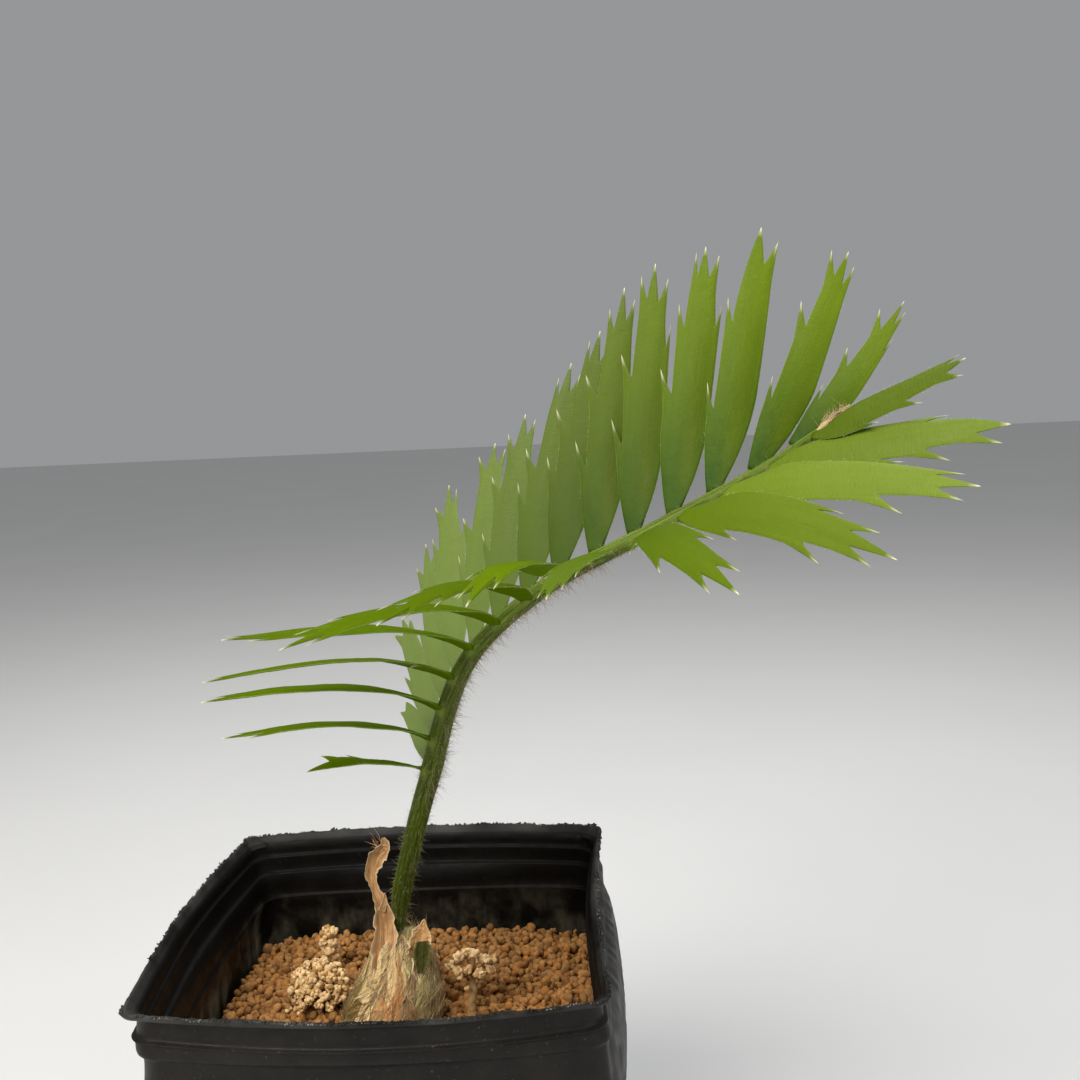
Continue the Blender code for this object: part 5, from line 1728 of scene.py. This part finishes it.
class CycadPotSettings(bpy.types.PropertyGroup):
    plastic: colour_prop("Plastic", "Base colour of the pot's plastic", (0.0062, 0.0052, 0.0042))
    # dust also colours the pale crust specks on the rim, which are partly painted highlights
    dust: colour_prop("Dust", "Colour of the dust and the crust on the rim", (0.36, 0.34, 0.30))
    stain: colour_prop("Stain", "Colour of the mineral streaks inside the wall", (0.165, 0.15, 0.105))
    crust_count: IntProperty(name="Crust", description="Crust specks on the rim", default=2600, min=0)


class CycadSoilSettings(bpy.types.PropertyGroup):
    clay: colour_prop("Clay", "Colour of the granules", (0.34, 0.165, 0.052))
    granule: FloatProperty(
        name="Granule", description="Mean width of a granule", default=0.00175, min=0.001, max=0.004,
        unit="LENGTH")


class CycadPlantSettings(bpy.types.PropertyGroup):
    cream: colour_prop("Scale cream", "Pale tone of the papery scales", (0.98, 0.76, 0.39))
    coral: colour_prop("Coral root", "Colour of the coral-like roots", (0.90, 0.62, 0.31))
    stem: colour_prop("Stem", "Colour of petiole and rachis", (0.060, 0.092, 0.006))
    stem_top: colour_prop("Rachis top", "Colour of the upper face of the rachis", (0.13, 0.20, 0.018))
    hair_pale: colour_prop("Pale hair", "Colour of the hairs on the petiole", (0.34, 0.33, 0.15))
    hair_tan: colour_prop("Tan hair", "Colour of the hairs on the rachis", (0.36, 0.27, 0.17))
    fuzz: IntProperty(name="Fuzz", description="Number of short hairs", default=4200, min=0)
    long_hairs: IntProperty(name="Long hairs", description="Number of long hairs", default=1500, min=0)


class CycadLeafSettings(bpy.types.PropertyGroup):
    leaf_pale: colour_prop("Pale leaf", "Leaflets at the frond's base, far row", (0.118, 0.168, 0.030))
    leaf_deep: colour_prop("Deep leaf", "Leaflets towards the frond's tip, far row", (0.105, 0.158, 0.004))
    leaf_lit: colour_prop("Bright leaf", "Leaflets at the frond's base, near row", (0.092, 0.150, 0.0004))
    # its paler, bluer tone is painted sheen on the near blades that face up into the light
    leaf_top: colour_prop("Upper leaf", "Leaflets towards the frond's tip, near row", (0.170, 0.235, 0.026))
    rim: colour_prop("Rim", "Colour of the blades' thin margin", (0.30, 0.40, 0.09))
    spine: colour_prop("Spine", "Colour of the spines' points", (0.72, 0.68, 0.45))
    hair_pale: colour_prop("Margin hair", "Colour of the hairs along the margins", (0.50, 0.55, 0.36))
    margin_hairs: IntProperty(name="Margin hairs", description="Hairs on each leaflet", default=90, min=0)


class CycadStageSettings(bpy.types.PropertyGroup):
    floor: colour_prop("Floor", "Colour of the floor", (0.74, 0.74, 0.73))
    floor_half: FloatProperty(
        name="Floor", description="Half width of the floor", default=4.0, min=0.5, unit="LENGTH")
    key: FloatProperty(name="Key light", description="Its power", default=8.0, min=0.0, unit="POWER")
    ambient: FloatProperty(name="Ambient", description="Strength of the even light", default=0.38, min=0.0)


class CYCAD_OT_pot(bpy.types.Operator):
    """Build the pot's shell and the crust on its rim"""

    bl_idname = "cycad.pot"
    bl_label = "Pot"

    def execute(self, context):
        build_pot(context.scene.cycad_pot)
        return {"FINISHED"}


class CYCAD_OT_soil(bpy.types.Operator):
    """Build the soil bed and its granules"""

    bl_idname = "cycad.soil"
    bl_label = "Soil"

    def execute(self, context):
        build_soil(context.scene.cycad_soil)
        return {"FINISHED"}


class CYCAD_OT_caudex(bpy.types.Operator):
    """Build the caudex and its papery scales"""

    bl_idname = "cycad.caudex"
    bl_label = "Caudex"

    def execute(self, context):
        build_caudex(context.scene.cycad_plant)
        return {"FINISHED"}


class CYCAD_OT_dry_bases(bpy.types.Operator):
    """Build the two dry leaf bases"""

    bl_idname = "cycad.dry_bases"
    bl_label = "Dry Leaf Bases"

    def execute(self, context):
        build_dry_bases()
        return {"FINISHED"}


class CYCAD_OT_corals(bpy.types.Operator):
    """Build the coral-like surface roots"""

    bl_idname = "cycad.corals"
    bl_label = "Coral Roots"

    def execute(self, context):
        build_corals(context.scene.cycad_plant)
        return {"FINISHED"}


class CYCAD_OT_stem(bpy.types.Operator):
    """Build the petiole, the rachis and its withered tip"""

    bl_idname = "cycad.stem"
    bl_label = "Frond Axis"

    def execute(self, context):
        build_stem(context.scene.cycad_plant)
        return {"FINISHED"}


class CYCAD_OT_hairs(bpy.types.Operator):
    """Build the hairs of the petiole and the rachis"""

    bl_idname = "cycad.hairs"
    bl_label = "Hairs"

    def execute(self, context):
        build_hairs(context.scene.cycad_plant)
        return {"FINISHED"}


class CYCAD_OT_leaflets(bpy.types.Operator):
    """Build both rows of leaflets with their spines"""

    bl_idname = "cycad.leaflets"
    bl_label = "Leaflets"

    def execute(self, context):
        build_leaflets(context.scene.cycad_leaf)
        return {"FINISHED"}


class CYCAD_OT_stage(bpy.types.Operator):
    """Build the floor, the lights and the camera"""

    bl_idname = "cycad.stage"
    bl_label = "Stage"

    def execute(self, context):
        build_stage(context.scene.cycad_stage)
        return {"FINISHED"}


OPERATORS = (
    CYCAD_OT_pot, CYCAD_OT_soil, CYCAD_OT_caudex, CYCAD_OT_dry_bases, CYCAD_OT_corals, CYCAD_OT_stem,
    CYCAD_OT_hairs, CYCAD_OT_leaflets, CYCAD_OT_stage,
)
SETTINGS = (
    ("cycad_pot", CycadPotSettings), ("cycad_soil", CycadSoilSettings), ("cycad_plant", CycadPlantSettings),
    ("cycad_leaf", CycadLeafSettings), ("cycad_stage", CycadStageSettings),
)


class CYCAD_PT_panel(bpy.types.Panel):
    bl_label = "Cycad Seedling"
    bl_idname = "CYCAD_PT_panel"
    bl_space_type = "VIEW_3D"
    bl_region_type = "UI"
    bl_category = "Cycad"

    def draw(self, context):
        column = self.layout.column()
        for operator in OPERATORS:
            column.operator(operator.bl_idname)
        for name, group in SETTINGS:
            settings = getattr(context.scene, name)
            box = self.layout.box()
            for key in group.__annotations__:
                box.prop(settings, key)


def register():
    for name, group in SETTINGS:
        bpy.utils.register_class(group)
        setattr(bpy.types.Scene, name, PointerProperty(type=group))
    for cls in OPERATORS + (CYCAD_PT_panel,):
        bpy.utils.register_class(cls)


def unregister():
    for cls in reversed(OPERATORS + (CYCAD_PT_panel,)):
        bpy.utils.unregister_class(cls)
    for name, group in reversed(SETTINGS):
        delattr(bpy.types.Scene, name)
        bpy.utils.unregister_class(group)


def main():
    """Build every piece in order."""
    register()
    bpy.ops.cycad.pot()
    bpy.ops.cycad.soil()
    bpy.ops.cycad.caudex()
    bpy.ops.cycad.dry_bases()
    bpy.ops.cycad.corals()
    bpy.ops.cycad.stem()
    bpy.ops.cycad.hairs()
    bpy.ops.cycad.leaflets()
    bpy.ops.cycad.stage()
    bpy.context.view_layer.update()


if __name__ == "__main__":
    main()
